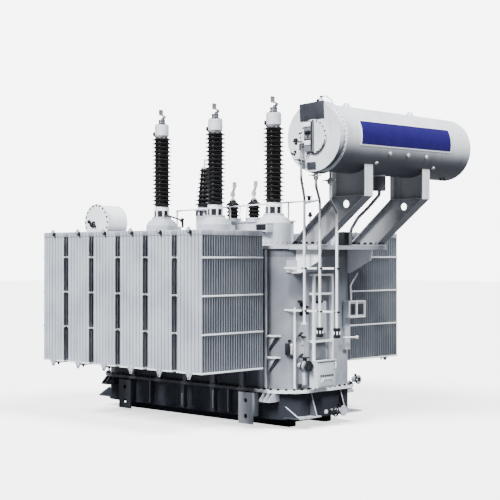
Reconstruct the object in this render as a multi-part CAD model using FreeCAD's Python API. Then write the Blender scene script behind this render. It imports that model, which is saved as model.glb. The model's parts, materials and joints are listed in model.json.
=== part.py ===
"""Oil-immersed power transformer: bell tank, panel radiators, bushings and conservator.

Millimetres, +Z up. The origin is on the ground under the centre of the tank.
+X points to the conservator end, -Y to the front row of radiators.
"""
import FreeCAD
import Part
import math
import os

V = FreeCAD.Vector

# ---- base ---------------------------------------------------------------------
SKID_HEIGHT = 150.0        # two long beams that stand on the ground
SKID_WIDTH = 160.0
SKID_LENGTH = 3800.0
SKID_Y = 420.0
CROSS_BEAM_PITCH = 1500.0
BASE_THICK = 20.0
BASE_LIP = 20.0            # how far the base plate stands out past the wall

# ---- tank -----------------------------------------------------------------------
TANK_LENGTH = 4400.0
TANK_WIDTH = 1640.0
TANK_CORNER = 420.0
JOINT_Z = 570.0            # level where the bell bolts to the lower tank
JOINT_REACH = 90.0         # how far the bolted flange stands out from the wall
JOINT_THICK = 22.0
COVER_TOP = 2770.0
COVER_THICK = 50.0
COVER_REACH = 40.0
TANK_END = TANK_LENGTH / 2
TANK_SIDE = TANK_WIDTH / 2
TUB_FOOT = SKID_HEIGHT + BASE_THICK

# ---- ribs, pads and brackets on the tank ------------------------------------------
RIB_WIDTH = 90.0
RIB_DEPTH = 75.0
BASE_RIB_X = (-860.0, -60.0, 630.0, 960.0)
END_RIB_Y = 220.0
PLATE = 20.0               # common thickness of welded brackets
JACK_X = 1850.0
JACK_WIDTH = 210.0
JACK_REACH = 190.0
JACK_DROP = 110.0          # from the bolted flange down to the jacking plate
HAUL_X = 1410.0            # upright brackets with rope holes on the long sides
HAUL_WIDTH = 300.0
HAUL_REACH = 130.0
HAUL_HOLE = 35.0
TOW_Y = 345.0              # towing brackets low on both ends
TOW_REACH = 130.0
TOW_PLATE_Y = (240.0, 750.0)
TOW_Z = (170.0, 530.0)

# ---- radiators --------------------------------------------------------------------
RADIATORS = 6              # in each row
RADIATOR_PITCH = 636.0
PANEL_WIDTH = 520.0
PANEL_THICK = 14.0
PANEL_PITCH = 50.0
PANELS = 26
PANEL_HEIGHT = 2074.0
PANEL_ABOVE_COVER = 221.0
HEADER_RADIUS = 42.0
HEADER_INSET = 130.0       # header axis from the panel's top or bottom edge
TIE_HEIGHT = 16.0
TIE_THICK = 8.0
TIE_LEVELS = 4
TIE_PITCH = 553.0
VALVE_GAP = 216.0          # from the tank's wall to the innermost panel
VALVE_FLANGE = 34.0        # how far valve flanges stand out from the header
VALVE_LENGTH = 72.0
VALVE_ENTRY = 160.0        # upper entry into the tank, below the cover's top
PANEL_TOP = COVER_TOP + PANEL_ABOVE_COVER
PANEL_BOTTOM = PANEL_TOP - PANEL_HEIGHT
BLOCK_DEPTH = (PANELS - 1) * PANEL_PITCH + PANEL_THICK
RADIATOR_FACE = TANK_SIDE + VALVE_GAP + BLOCK_DEPTH

# ---- high-voltage bushings --------------------------------------------------------
HV_PITCH = 1310.0
HV_Y = -200.0
TURRET_RADIUS = 270.0
TURRET_FOOT = 310.0
TURRET_TOP = COVER_TOP + 510.0
HV_COLLAR = 120.0          # metal collar between turret and porcelain
HV_BASE_TOP = TURRET_TOP + 174.0
HV_CORE_RADIUS = 116.0
HV_SHED_RADIUS = 166.0
HV_SHEDS = 17
HV_SHED_TOP = HV_BASE_TOP + 1191.0
HV_HEAD_RADIUS = 120.0
HV_HEAD_TOP = HV_SHED_TOP + 221.0
HV_STUD_RADIUS = 20.0

# ---- terminal clamps and palms ----------------------------------------------------
CLAMP_WIDTH = 104.0
CLAMP_DEPTH = 56.0
CLAMP_HEIGHT = 88.0
STRAP = 16.0               # thickness of the bent strap
STRAP_WIDTH = 50.0
STRAP_BULGE = 76.0         # how far the strap swings out
STRAP_RISE = 92.0
PALM_WIDTH = 84.0
PALM_HEIGHT = 96.0
PALM_HOLE_SPACING = 44.0
PALM_HOLE_RADIUS = 7.0

# ---- neutral and low-voltage bushings ---------------------------------------------
NEUTRAL_X = -920.0
NEUTRAL_RADIUS = 150.0
NEUTRAL_FOOT = 200.0
NEUTRAL_TURRET_TOP = COVER_TOP + 690.0
NEUTRAL_SHED_TOP = NEUTRAL_TURRET_TOP + 670.0
NEUTRAL_SHEDS = 9
LV_Y = 450.0
LV_X = (-230.0, 265.0, 760.0)
LV_BOX_TOP = COVER_TOP + 400.0
LV_BOX_END = 220.0         # from an outer bushing to the end of its box
LV_BOX_HALF = 200.0
LV_LID = 20.0
LV_NECK_RADIUS = 130.0
LV_FOOT = LV_BOX_TOP + 80.0
LV_SHED_TOP = LV_FOOT + 310.0
LV_STEM = 130.0            # stem between the porcelain and the palm

# ---- conservator ------------------------------------------------------------------
CONS_X = TANK_END + 970.0
CONS_Z = COVER_TOP + 1514.0
CONS_RADIUS = 478.0
CONS_WALL = 8.0
CONS_NEAR_Y = -1265.0      # joint between the shell's flange and the cover's flange
CONS_FAR_Y = 1800.0
CONS_FLANGE_RADIUS = 515.0
CONS_FLANGE_THICK = 20.0
CONS_DISH = 120.0
CONS_DISH_STEPS = 12
COVER_NECK_RADIUS = 468.0
COVER_NECK_LENGTH = 85.0
COVER_DISC_RADIUS = 488.0
COVER_DISC_THICK = 30.0
MANHOLE_RADIUS = 245.0
MANHOLE_THICK = 15.0
GAUGE_WIDTH = 155.0
GAUGE_DEPTH = 40.0
GAUGE_Z = (-204.0, 216.0)  # from the conservator's axis
GAUGE_X = -56.0
LUG_Y = (-690.0, 850.0)
LUG_RADIUS = 60.0
LUG_HOLE = 22.0
SUMP_RADIUS = 95.0
SUMP_DROP = 224.0          # how far the sump hangs below the shell
DISC_FACE_Y = CONS_NEAR_Y - CONS_FLANGE_THICK - COVER_NECK_LENGTH - COVER_DISC_THICK

# ---- conservator supports ---------------------------------------------------------
SHELF_END_X = TANK_END + 460.0
SHELF_Y = (-720.0, 950.0)
SHELF_THICK = 60.0
SHELF_ROOM = 20.0          # clearance to the last radiator's valves
GUSSET_Y = (-600.0, 620.0)
GUSSET_DROP = 370.0        # from the shelf's underside to the gusset's foot
GUSSET_TIP_DROP = 170.0
FRAME_Y = (-560.0, 840.0)
FRAME_FLANGE = 190.0
FRAME_PLATE = 14.0
FRAME_SOLE = 20.0
FRAME_FOOT_X = (TANK_END - 140.0, TANK_END + 400.0)
FRAME_POST_X = (CONS_X - 290.0, CONS_X + 320.0)
FRAME_KNEE_Z = COVER_TOP + 710.0
FRAME_HOLE_RADIUS = 55.0
FRAME_HOLE_DROP = 110.0
CRADLE_DROP = 60.0         # the posts end this far under the conservator's axis

# ---- pipes ------------------------------------------------------------------------
PIPE_RADIUS = 19.0
PIPE_BEND = 90.0
PIPE_Y = -TANK_SIDE + 60.0
PIPE_X = (TANK_END + 240.0, TANK_END + 540.0, TANK_END + 860.0)
PIPE_FOOT = (1600.0, 1560.0, 1560.0)
PIPE_TURN = (COVER_TOP + 710.0, COVER_TOP + 650.0, COVER_TOP + 480.0)
PIPE_VALVE_RADIUS = 34.0
PIPE_VALVE_LENGTH = 90.0
PIPE_LEVER = 120.0
BREATHER_RADIUS = 48.0
BREATHER_LENGTH = 125.0
BRACKET_LEVELS = (1800.0, 2430.0)
BAR = 8.0
BAR_HEIGHT = 28.0
VENT_RADIUS = 13.0
VENT_Y = 150.0
OIL_PIPE_RADIUS = 24.0
OIL_PIPE_Y = 100.0
OIL_PIPE_FOOT_X = TANK_END + 420.0
RELAY_LENGTH = 120.0
RELAY_HALF = 75.0
RELAY_HEIGHT = 210.0

# ---- equipment on the end wall ----------------------------------------------------
LADDER_Y = (-370.0, 90.0)
LADDER_STANDOFF = 60.0
LADDER_BAR = 32.0
LADDER_TOP = 2340.0
LADDER_RUNGS = (700.0, 1300.0, 2020.0)
CABINET_Y = (-470.0, -60.0)
CABINET_Z = (630.0, 1030.0)
CABINET_DEPTH = 160.0
INDICATOR_Y = (410.0, 830.0)
INDICATOR_Z = (1645.0, 1910.0)
INDICATOR_DEPTH = 110.0
DUCT_Y = (430.0, 555.0)
DUCT_Z = 1150.0
DUCT_DEPTH = 45.0
DRAIN_Y = 250.0
DRAIN_Z = 225.0
DRAIN_REACH = 170.0
DRAIN_RADIUS = 45.0
DRAIN_FLANGE = 80.0
DRAIN_ROOM = 10.0          # clearance cut round the drain flange
DRAIN_BOLT_CIRCLE = 125.0
DRAIN_HOLE_RADIUS = 9.0
FILTER_Y = -560.0
FILTER_Z = 960.0
FILTER_REACH = 160.0

# ---- tap changer's own small conservator ------------------------------------------
DRUM_X = -TANK_END + 100.0
DRUM_RADIUS = 290.0
DRUM_Z = COVER_TOP + 420.0
DRUM_Y = (-1000.0, -550.0)
DRUM_RIM = 25.0
SADDLE_X = (-60.0, 200.0)  # from the drum's axis
SADDLE_Y = (-760.0, -600.0)


# ---- shapes -----------------------------------------------------------------------
def box(x0, x1, y0, y1, z0, z1):
    """A block between two corners."""
    return Part.makeBox(x1 - x0, y1 - y0, z1 - z0, V(x0, y0, z0))


def rod(radius, start, end):
    """A round bar from one point to another."""
    along = V(*end) - V(*start)
    return Part.makeCylinder(radius, along.Length, V(*start), along)


def slab(length, width, corner, z0, z1):
    """An upright prism centred on the origin, its four corners rounded."""
    a, b, r = length / 2, width / 2, corner
    s = r * (1 - math.sqrt(0.5))
    outline = Part.Wire([
        Part.makeLine(V(-a + r, -b, z0), V(a - r, -b, z0)),
        Part.Arc(V(a - r, -b, z0), V(a - s, -b + s, z0), V(a, -b + r, z0)).toShape(),
        Part.makeLine(V(a, -b + r, z0), V(a, b - r, z0)),
        Part.Arc(V(a, b - r, z0), V(a - s, b - s, z0), V(a - r, b, z0)).toShape(),
        Part.makeLine(V(a - r, b, z0), V(-a + r, b, z0)),
        Part.Arc(V(-a + r, b, z0), V(-a + s, b - s, z0), V(-a, b - r, z0)).toShape(),
        Part.makeLine(V(-a, b - r, z0), V(-a, -b + r, z0)),
        Part.Arc(V(-a, -b + r, z0), V(-a + s, -b + s, z0), V(-a + r, -b, z0)).toShape(),
    ])
    return Part.Face(outline).extrude(V(0, 0, z1 - z0))


def tank_slab(reach, z0, z1):
    """A slice of the tank's outline, grown outwards by reach."""
    return slab(TANK_LENGTH + 2 * reach, TANK_WIDTH + 2 * reach, TANK_CORNER + reach, z0, z1)


def turned(profile, x, y):
    """A solid of revolution about an upright axis at x, y from (radius, z) points."""
    points = [V(x + r, y, z) for r, z in profile]
    face = Part.Face(Part.makePolygon(points + points[:1]))
    return face.revolve(V(x, y, 0), V(0, 0, 1), 360)


def along_y(profile):
    """A solid of revolution about the conservator's axis from (radius, y) points."""
    points = [V(CONS_X + r, y, CONS_Z) for r, y in profile]
    face = Part.Face(Part.makePolygon(points + points[:1]))
    return face.revolve(V(CONS_X, 0, CONS_Z), V(0, 1, 0), 360)


def pipe(radius, points, bend):
    """A round bar along straight runs joined by arcs, each as large as its runs allow up to bend."""
    corners = [V(*p) for p in points]
    edges = []
    start = corners[0]
    for before, corner, after in zip(corners, corners[1:], corners[2:]):
        into = (corner - before).normalize()
        out = (after - corner).normalize()
        half_turn = into.getAngle(out) / 2
        shorter = min((corner - before).Length, (after - corner).Length)
        arc_radius = min(bend, 0.45 * shorter / math.tan(half_turn))
        set_back = arc_radius * math.tan(half_turn)
        arc_start = corner - into * set_back
        arc_end = corner + out * set_back
        towards = (out - into).normalize()
        arc_middle = corner + towards * arc_radius * (1 / math.cos(half_turn) - 1)
        edges.append(Part.makeLine(start, arc_start))
        edges.append(Part.Arc(arc_start, arc_middle, arc_end).toShape())
        start = arc_end
    edges.append(Part.makeLine(start, corners[-1]))
    section = Part.Wire([Part.makeCircle(radius, corners[0], corners[1] - corners[0])])
    return Part.Wire(edges).makePipeShell([section], True, False)


def prism_xz(points, y0, y1):
    """A plate with its outline in the XZ plane, from y0 to y1."""
    corners = [V(x, y0, z) for x, z in points]
    return Part.Face(Part.makePolygon(corners + corners[:1])).extrude(V(0, y1 - y0, 0))


def prism_yz(points, x0, x1):
    """A plate with its outline in the YZ plane, from x0 to x1."""
    corners = [V(x0, y, z) for y, z in points]
    return Part.Face(Part.makePolygon(corners + corners[:1])).extrude(V(x1 - x0, 0, 0))


def tank_outline():
    """The full height of the tank's wall, to trim what is welded against it."""
    return tank_slab(0, 0, COVER_TOP)


def shell_outline():
    """The conservator's outer cylinder, to trim what meets it."""
    return rod(CONS_RADIUS, (CONS_X, CONS_NEAR_Y, CONS_Z), (CONS_X, CONS_FAR_Y, CONS_Z))


def fused(shapes):
    """One solid from pieces that meet."""
    return shapes[0].multiFuse(shapes[1:]).removeSplitter()


def mirrored(shape, normal):
    """The same piece on the other side of a plane through the origin."""
    return shape.mirror(V(0, 0, 0), V(*normal))


def save(name, *shapes):
    """Write one named piece of the transformer."""
    shape = shapes[0] if len(shapes) == 1 else Part.makeCompound(list(shapes))
    shape.exportStep("parts/" + name + ".step")
    print(name, len(shape.Solids), "solids", round(shape.Volume / 1e9, 4), "m3")


# ---- base and tank ----------------------------------------------------------------
def skid_beams():
    half = SKID_WIDTH / 2
    return [box(-SKID_LENGTH / 2, SKID_LENGTH / 2, y - half, y + half, 0, SKID_HEIGHT)
            for y in (-SKID_Y, SKID_Y)]


def cross_beams():
    """Three beams between the skids, the middle one over the origin."""
    half = SKID_WIDTH / 2
    inside = SKID_Y - half
    return [box(n * CROSS_BEAM_PITCH - half, n * CROSS_BEAM_PITCH + half, -inside, inside, 0, SKID_HEIGHT)
            for n in (-1, 0, 1)]


def side_rib(x, side, z0, z1):
    y0, y1 = sorted((side * TANK_SIDE, side * (TANK_SIDE + RIB_DEPTH)))
    return box(x - RIB_WIDTH / 2, x + RIB_WIDTH / 2, y0, y1, z0, z1)


def base_stiffeners():
    """Box ribs down both long sides of the lower tank."""
    top = JOINT_Z - JOINT_THICK
    return [side_rib(x, side, TUB_FOOT, top) for x in BASE_RIB_X for side in (-1, 1)]


def bell_stiffeners():
    """Upright ribs on the bell: between the radiators and on the plain end."""
    z0, z1 = JOINT_Z + JOINT_THICK, COVER_TOP - COVER_THICK
    between = [(n - (RADIATORS - 2) / 2) * RADIATOR_PITCH for n in range(RADIATORS - 1)]
    ribs = [side_rib(x, side, z0, z1) for x in between for side in (-1, 1)]
    for y in (-END_RIB_Y, END_RIB_Y):
        ribs.append(box(-TANK_END - RIB_DEPTH, -TANK_END, y - RIB_WIDTH / 2, y + RIB_WIDTH / 2, z0, z1))
    return ribs


def four_corners(piece):
    """A piece from the front right corner and its mirror images at the other three."""
    pair = [piece, mirrored(piece, (0, 1, 0))]
    return pair + [mirrored(p, (1, 0, 0)) for p in pair]


def jacking_pad():
    """A plate under the bolted flange, tied up to it by three gussets."""
    top = JOINT_Z - JOINT_THICK
    low = top - JACK_DROP
    x0, x1 = JACK_X - JACK_WIDTH / 2, JACK_X + JACK_WIDTH / 2
    inner = -TANK_SIDE + TANK_CORNER
    outer = -TANK_SIDE - JACK_REACH
    plates = [box(x0, x1, outer, inner, low - PLATE, low)]
    gusset = [(inner, low), (outer, low), (-TANK_SIDE - JOINT_REACH, top), (inner, top)]
    for x in (x0, JACK_X - PLATE / 2, x1 - PLATE):
        plates.append(prism_yz(gusset, x, x + PLATE))
    return fused(plates).cut(tank_outline())


def hauling_bracket():
    """An upright face plate on two side plates, with two rope holes."""
    x0, x1 = HAUL_X - HAUL_WIDTH / 2, HAUL_X + HAUL_WIDTH / 2
    face = -TANK_SIDE - HAUL_REACH
    top = JOINT_Z - JOINT_THICK - PLATE
    low = SKID_HEIGHT / 3
    plates = [box(x0, x1, face, face + PLATE, low, top)]
    for x in (x0, x1 - PLATE):
        plates.append(box(x, x + PLATE, face, -TANK_SIDE, TUB_FOOT, top))
    bracket = fused(plates)
    for z in (low + (top - low) / 4, low + (top - low) * 3 / 4):
        bracket = bracket.cut(rod(HAUL_HOLE, (HAUL_X, face - PLATE, z), (HAUL_X, face + 2 * PLATE, z)))
    return bracket


def towing_bracket():
    """A level plate round the tank's corner with a gusset over it and a towing eye."""
    low, top = TOW_Z
    outer = TANK_END + TOW_REACH
    inner = TANK_END - TANK_CORNER
    near, far = TOW_PLATE_Y
    plate = box(inner, outer, -far, -near, low, low + PLATE)
    gusset = prism_xz([(inner, low + PLATE), (outer, low + PLATE), (TANK_END + PLATE, top), (inner, top)],
                      -TOW_Y - PLATE / 2, -TOW_Y + PLATE / 2)
    eye_x = TANK_END + TOW_REACH / 2
    eye_y = -(TOW_Y + far) / 2
    eye = rod(HAUL_HOLE, (eye_x, eye_y, low - PLATE), (eye_x, eye_y, low + 2 * PLATE))
    return fused([plate, gusset]).cut(eye).cut(tank_outline())


# ---- radiators --------------------------------------------------------------------
def radiator():
    """One panel radiator, its outermost panel's face at y = 0, the rest behind it."""
    half = PANEL_WIDTH / 2
    pieces = []
    for n in range(PANELS):
        y0 = n * PANEL_PITCH
        pieces.append(box(-half, half, y0, y0 + PANEL_THICK, PANEL_BOTTOM, PANEL_TOP))
    for z in (PANEL_BOTTOM + HEADER_INSET, PANEL_TOP - HEADER_INSET):
        pieces.append(rod(HEADER_RADIUS, (0, PANEL_THICK / 2, z), (0, BLOCK_DEPTH, z)))
    for n in range(TIE_LEVELS):
        z = PANEL_BOTTOM + n * TIE_PITCH
        for side in (-1, 1):
            x0, x1 = sorted((side * half, side * (half + TIE_THICK)))
            pieces.append(box(x0, x1, 0, BLOCK_DEPTH, z, z + TIE_HEIGHT))
    return fused(pieces)


def radiator_x(n):
    return (n - (RADIATORS - 1) / 2) * RADIATOR_PITCH


def radiator_valves(n):
    """Lower stub and upper swan neck, with their flanges, between the tank and one front radiator."""
    x = radiator_x(n)
    root = -TANK_SIDE + TANK_CORNER
    inner = -RADIATOR_FACE + BLOCK_DEPTH
    middle = (-TANK_SIDE + inner) / 2
    flange = HEADER_RADIUS + VALVE_FLANGE
    low = PANEL_BOTTOM + HEADER_INSET
    high = PANEL_TOP - HEADER_INSET
    entry = COVER_TOP - VALVE_ENTRY
    stub = rod(HEADER_RADIUS, (x, root, low), (x, inner, low))
    valve = rod(flange, (x, middle - VALVE_LENGTH / 2, low), (x, middle + VALVE_LENGTH / 2, low))
    neck = pipe(HEADER_RADIUS, [(x, inner, high), (x, middle, high), (x, middle, entry), (x, root, entry)],
                HEADER_RADIUS * 1.4)
    collar = rod(flange, (x, inner + VALVE_LENGTH / 20, high), (x, inner + VALVE_LENGTH / 2, high))
    wall = tank_outline()
    return [fused([stub, valve]).cut(wall), fused([neck, collar]).cut(wall)]


# ---- bushings ---------------------------------------------------------------------
def shed_profile(core, shed, z0, z1, count, taper=1.0):
    """Half outline of a porcelain: sheds of two sizes in turn on a straight core."""
    pitch = (z1 - z0) / count
    step = (shed - core) / 3
    points = [(0, z0)]
    for n in range(count):
        z = z0 + n * pitch
        scale = 1 - (1 - taper) * n / (count - 1)
        rim = (shed if n % 2 == 0 else shed - step) * scale
        bore = core * scale
        points += [(bore, z), (bore, z + 0.30 * pitch), (rim, z + 0.34 * pitch),
                   (rim, z + 0.46 * pitch), (bore + 6, z + 0.80 * pitch)]
    points += [(core * taper, z1), (0, z1)]
    return points


def hv_turret(x):
    """Flanged foot, drum, sloping shoulder and the collar that holds the porcelain."""
    seat = 165
    profile = [(0, COVER_TOP), (TURRET_FOOT, COVER_TOP), (TURRET_FOOT, COVER_TOP + 36),
               (TURRET_RADIUS, COVER_TOP + 36), (TURRET_RADIUS, TURRET_TOP - 150),
               (TURRET_RADIUS - 40, TURRET_TOP - 80), (TURRET_RADIUS - 100, TURRET_TOP - 40),
               (seat, TURRET_TOP - 30), (seat, TURRET_TOP), (HV_COLLAR - 2, TURRET_TOP),
               (HV_COLLAR - 12, HV_BASE_TOP - 50), (HV_COLLAR, HV_BASE_TOP - 50),
               (HV_COLLAR, HV_BASE_TOP), (0, HV_BASE_TOP)]
    return turned(profile, x, HV_Y)


def holed_palm(width, height):
    """A flat terminal pad in the YZ plane, four holes, its near face at x = 0, its foot at z = 0."""
    palm = box(0, STRAP, -width / 2, width / 2, 0, height)
    for dy in (-0.5, 0.5):
        for dz in (-0.5, 0.5):
            y = dy * PALM_HOLE_SPACING
            z = height / 2 + dz * PALM_HOLE_SPACING
            palm = palm.cut(rod(PALM_HOLE_RADIUS, (-STRAP, y, z), (2 * STRAP, y, z)))
    return palm


def hv_terminal(x):
    """Metal head with a round stud, a split clamp on it and a bent strap up to a palm."""
    clamp_foot = HV_HEAD_TOP + 8
    clamp_top = clamp_foot + CLAMP_HEIGHT
    profile = [(0, HV_SHED_TOP), (90, HV_SHED_TOP), (HV_HEAD_RADIUS - 4, HV_SHED_TOP + 36),
               (HV_HEAD_RADIUS, HV_SHED_TOP + 40), (HV_HEAD_RADIUS, HV_HEAD_TOP - 12),
               (HV_HEAD_RADIUS - 12, HV_HEAD_TOP), (HV_STUD_RADIUS, HV_HEAD_TOP),
               (HV_STUD_RADIUS, clamp_top + 6), (0, clamp_top + 6)]
    head = turned(profile, x, HV_Y)
    clamp = box(x - CLAMP_WIDTH / 2, x + CLAMP_WIDTH / 2, HV_Y - CLAMP_DEPTH / 2, HV_Y + CLAMP_DEPTH / 2,
                clamp_foot, clamp_top)
    top = clamp_top + STRAP_RISE
    palm_x = x - 2 * STRAP
    out = x + STRAP_BULGE
    strap = prism_xz([(x, clamp_top), (x + 2 * STRAP, clamp_top), (out, clamp_top + 34), (out, top - 34),
                      (palm_x + STRAP, top), (palm_x, top), (palm_x, top - STRAP), (out - STRAP, top - 46),
                      (out - STRAP, clamp_top + 44), (x, clamp_top + STRAP)],
                     HV_Y - STRAP_WIDTH / 2, HV_Y + STRAP_WIDTH / 2)
    palm = holed_palm(PALM_WIDTH, PALM_HEIGHT)
    palm.translate(V(palm_x, HV_Y, top - STRAP))
    return fused([head, clamp, strap, palm])


def neutral_turret():
    top = NEUTRAL_TURRET_TOP
    profile = [(0, COVER_TOP), (NEUTRAL_FOOT, COVER_TOP), (NEUTRAL_FOOT, COVER_TOP + 30),
               (NEUTRAL_RADIUS, COVER_TOP + 30), (NEUTRAL_RADIUS, top - 60), (NEUTRAL_RADIUS + 40, top - 60),
               (NEUTRAL_RADIUS + 40, top - 30), (NEUTRAL_RADIUS - 30, top - 30),
               (NEUTRAL_RADIUS - 30, top), (0, top)]
    return turned(profile, NEUTRAL_X, LV_Y)


def neutral_terminal():
    z = NEUTRAL_SHED_TOP
    profile = [(0, z), (60, z), (60, z + 20), (14, z + 35), (14, z + 170), (0, z + 170)]
    return turned(profile, NEUTRAL_X, LV_Y)


def low_voltage_box():
    x0, x1 = LV_X[0] - LV_BOX_END, LV_X[-1] + LV_BOX_END
    y0, y1 = LV_Y - LV_BOX_HALF, LV_Y + LV_BOX_HALF
    lip = 25
    chest = box(x0, x1, y0, y1, COVER_TOP, LV_BOX_TOP)
    lid = box(x0 - lip, x1 + lip, y0 - lip, y1 + lip, LV_BOX_TOP, LV_BOX_TOP + LV_LID)
    necks = [rod(LV_NECK_RADIUS, (x, LV_Y, LV_BOX_TOP + LV_LID), (x, LV_Y, LV_FOOT)) for x in LV_X]
    return fused([chest, lid] + necks)


def low_voltage_porcelain(x):
    """Three skirts under one wide umbrella."""
    profile = [(0, LV_FOOT), (78, LV_FOOT)]
    for n in range(3):
        z = LV_FOOT + 30 + n * 62
        profile += [(78, z), (108, z + 6), (108, z + 18), (80, z + 44)]
    profile += [(70, LV_SHED_TOP - 96), (118, LV_SHED_TOP - 90), (118, LV_SHED_TOP - 78),
                (60, LV_SHED_TOP - 30), (52, LV_SHED_TOP), (0, LV_SHED_TOP)]
    return turned(profile, x, LV_Y)


def low_voltage_terminal(x):
    """A stem with a cranked clamp and a flat palm for the busbar."""
    z = LV_SHED_TOP
    palm_foot = z + LV_STEM + 80
    profile = [(0, z), (34, z), (34, z + 30), (16, z + 40), (16, z + LV_STEM), (0, z + LV_STEM)]
    stem = turned(profile, x, LV_Y)
    clamp = box(x - 36, x + 28, LV_Y - 26, LV_Y + 26, z + 60, z + LV_STEM)
    crank = prism_xz([(x - 20, z + LV_STEM), (x + 12, z + LV_STEM), (x + 46, palm_foot), (x + 30, palm_foot)],
                     LV_Y - 26, LV_Y + 26)
    palm = holed_palm(PALM_WIDTH, PALM_HEIGHT)
    palm.translate(V(x + 30, LV_Y, palm_foot))
    return fused([stem, clamp, crank, palm])


# ---- conservator ------------------------------------------------------------------
def conservator_shell():
    """Flanged shell with two lifting lugs on top and an oil sump underneath."""
    bore = CONS_RADIUS - CONS_WALL
    flange_back = CONS_NEAR_Y + CONS_FLANGE_THICK
    tube = along_y([(bore, CONS_NEAR_Y), (CONS_FLANGE_RADIUS, CONS_NEAR_Y), (CONS_FLANGE_RADIUS, flange_back),
                    (CONS_RADIUS, flange_back), (CONS_RADIUS, CONS_FAR_Y), (bore, CONS_FAR_Y)])
    inside = rod(bore, (CONS_X, CONS_NEAR_Y, CONS_Z), (CONS_X, CONS_FAR_Y, CONS_Z))
    lugs = []
    for y in LUG_Y:
        crown = CONS_Z + CONS_RADIUS
        plate = fused([rod(LUG_RADIUS, (CONS_X, y, crown), (CONS_X, y + PLATE, crown))])
        hole_z = crown + LUG_RADIUS / 2
        lugs.append(plate.cut(rod(LUG_HOLE, (CONS_X, y - PLATE, hole_z), (CONS_X, y + 2 * PLATE, hole_z))))
    sump_foot = CONS_Z - CONS_RADIUS - SUMP_DROP
    sump = rod(SUMP_RADIUS, (CONS_X, OIL_PIPE_Y, sump_foot), (CONS_X, OIL_PIPE_Y, CONS_Z))
    return fused([tube] + [piece.cut(inside) for piece in lugs + [sump]])


def conservator_cover():
    """Round cover: bolted flange, short neck, outer disc and a raised manhole plate."""
    flange_front = CONS_NEAR_Y - CONS_FLANGE_THICK
    neck_front = flange_front - COVER_NECK_LENGTH
    return along_y([(0, DISC_FACE_Y - MANHOLE_THICK), (MANHOLE_RADIUS, DISC_FACE_Y - MANHOLE_THICK),
                    (MANHOLE_RADIUS, DISC_FACE_Y), (COVER_DISC_RADIUS, DISC_FACE_Y),
                    (COVER_DISC_RADIUS, neck_front), (COVER_NECK_RADIUS, neck_front),
                    (COVER_NECK_RADIUS, flange_front), (CONS_FLANGE_RADIUS, flange_front),
                    (CONS_FLANGE_RADIUS, CONS_NEAR_Y), (0, CONS_NEAR_Y)])


def conservator_dished_end():
    """A half-ellipsoid cap of the shell's thickness."""
    outer = []
    inner = []
    for n in range(CONS_DISH_STEPS):
        angle = math.pi / 2 * n / CONS_DISH_STEPS
        outer.append((CONS_RADIUS * math.cos(angle), CONS_FAR_Y + CONS_DISH * math.sin(angle)))
        inner.append(((CONS_RADIUS - CONS_WALL) * math.cos(angle),
                      CONS_FAR_Y + (CONS_DISH - CONS_WALL) * math.sin(angle)))
    outer.append((0, CONS_FAR_Y + CONS_DISH))
    inner.append((0, CONS_FAR_Y + CONS_DISH - CONS_WALL))
    return along_y(outer + inner[::-1])


def level_gauge():
    back = DISC_FACE_Y - MANHOLE_THICK
    x = CONS_X + GAUGE_X
    return box(x - GAUGE_WIDTH / 2, x + GAUGE_WIDTH / 2, back - GAUGE_DEPTH, back,
               CONS_Z + GAUGE_Z[0], CONS_Z + GAUGE_Z[1])


# ---- conservator supports ---------------------------------------------------------
def support_shelf():
    """Shelf welded round the tank's end, level with the cover, under the support feet."""
    under = COVER_TOP - SHELF_THICK
    past_valves = radiator_x(RADIATORS - 1) + HEADER_RADIUS + VALVE_FLANGE + SHELF_ROOM
    root = max(TANK_END - TANK_CORNER, past_valves)
    plate = box(root, SHELF_END_X, *SHELF_Y, under, COVER_TOP)
    cover = tank_slab(COVER_REACH, COVER_TOP - COVER_THICK, COVER_TOP)
    return plate.cut(cover).cut(tank_outline())


def shelf_gussets():
    """A deep plate under each end of the shelf, from the tank's wall to the shelf's edge."""
    under = COVER_TOP - SHELF_THICK
    wall = TANK_END - TANK_CORNER
    tip = SHELF_END_X - PLATE
    outline = [(wall, under), (tip, under), (tip - PLATE * 2, under - GUSSET_TIP_DROP),
               (TANK_END, under - GUSSET_DROP), (wall, under - GUSSET_DROP)]
    return [prism_xz(outline, y - PLATE / 2, y + PLATE / 2).cut(tank_outline()) for y in GUSSET_Y]


def support_frame(y):
    """Plate girder: sole, leaning web between two flanges, then an upright post to the shell."""
    f0, f1 = FRAME_FOOT_X
    p0, p1 = FRAME_POST_X
    half = FRAME_FLANGE / 2
    t = FRAME_PLATE
    sole_top = COVER_TOP + FRAME_SOLE
    knee = FRAME_KNEE_Z
    hole_x = (p0 + p1) / 2 - 2 * FRAME_HOLE_RADIUS
    hole_z = knee - FRAME_HOLE_DROP
    web = prism_xz([(f0, sole_top), (f1, sole_top), (p1, knee), (p1, CONS_Z), (p0, CONS_Z), (p0, knee)],
                   y - t / 2, y + t / 2)
    web = web.cut(rod(FRAME_HOLE_RADIUS, (hole_x, y - half, hole_z), (hole_x, y + half, hole_z)))
    lower = prism_xz([(f1 - t, sole_top), (f1 + t, sole_top), (p1, knee), (p1, CONS_Z), (p1 - t, CONS_Z),
                      (p1 - t, knee)], y - half, y + half)
    upper = prism_xz([(f0, sole_top), (f0 + 2 * t, sole_top), (p0 + t, knee), (p0 + t, CONS_Z), (p0, CONS_Z),
                      (p0, knee)], y - half, y + half)
    cross = box(p0, p1, y - half, y + half, knee - t / 2, knee + t / 2)
    sole = box(f0 - t, SHELF_END_X, y - half, y + half, COVER_TOP, sole_top)
    frame = fused([web, lower, upper, cross, sole])
    above = box(p0 - t, p1 + t, y - half, y + half, CONS_Z - CRADLE_DROP, CONS_Z + t)
    return frame.cut(shell_outline()).cut(above)


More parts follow.
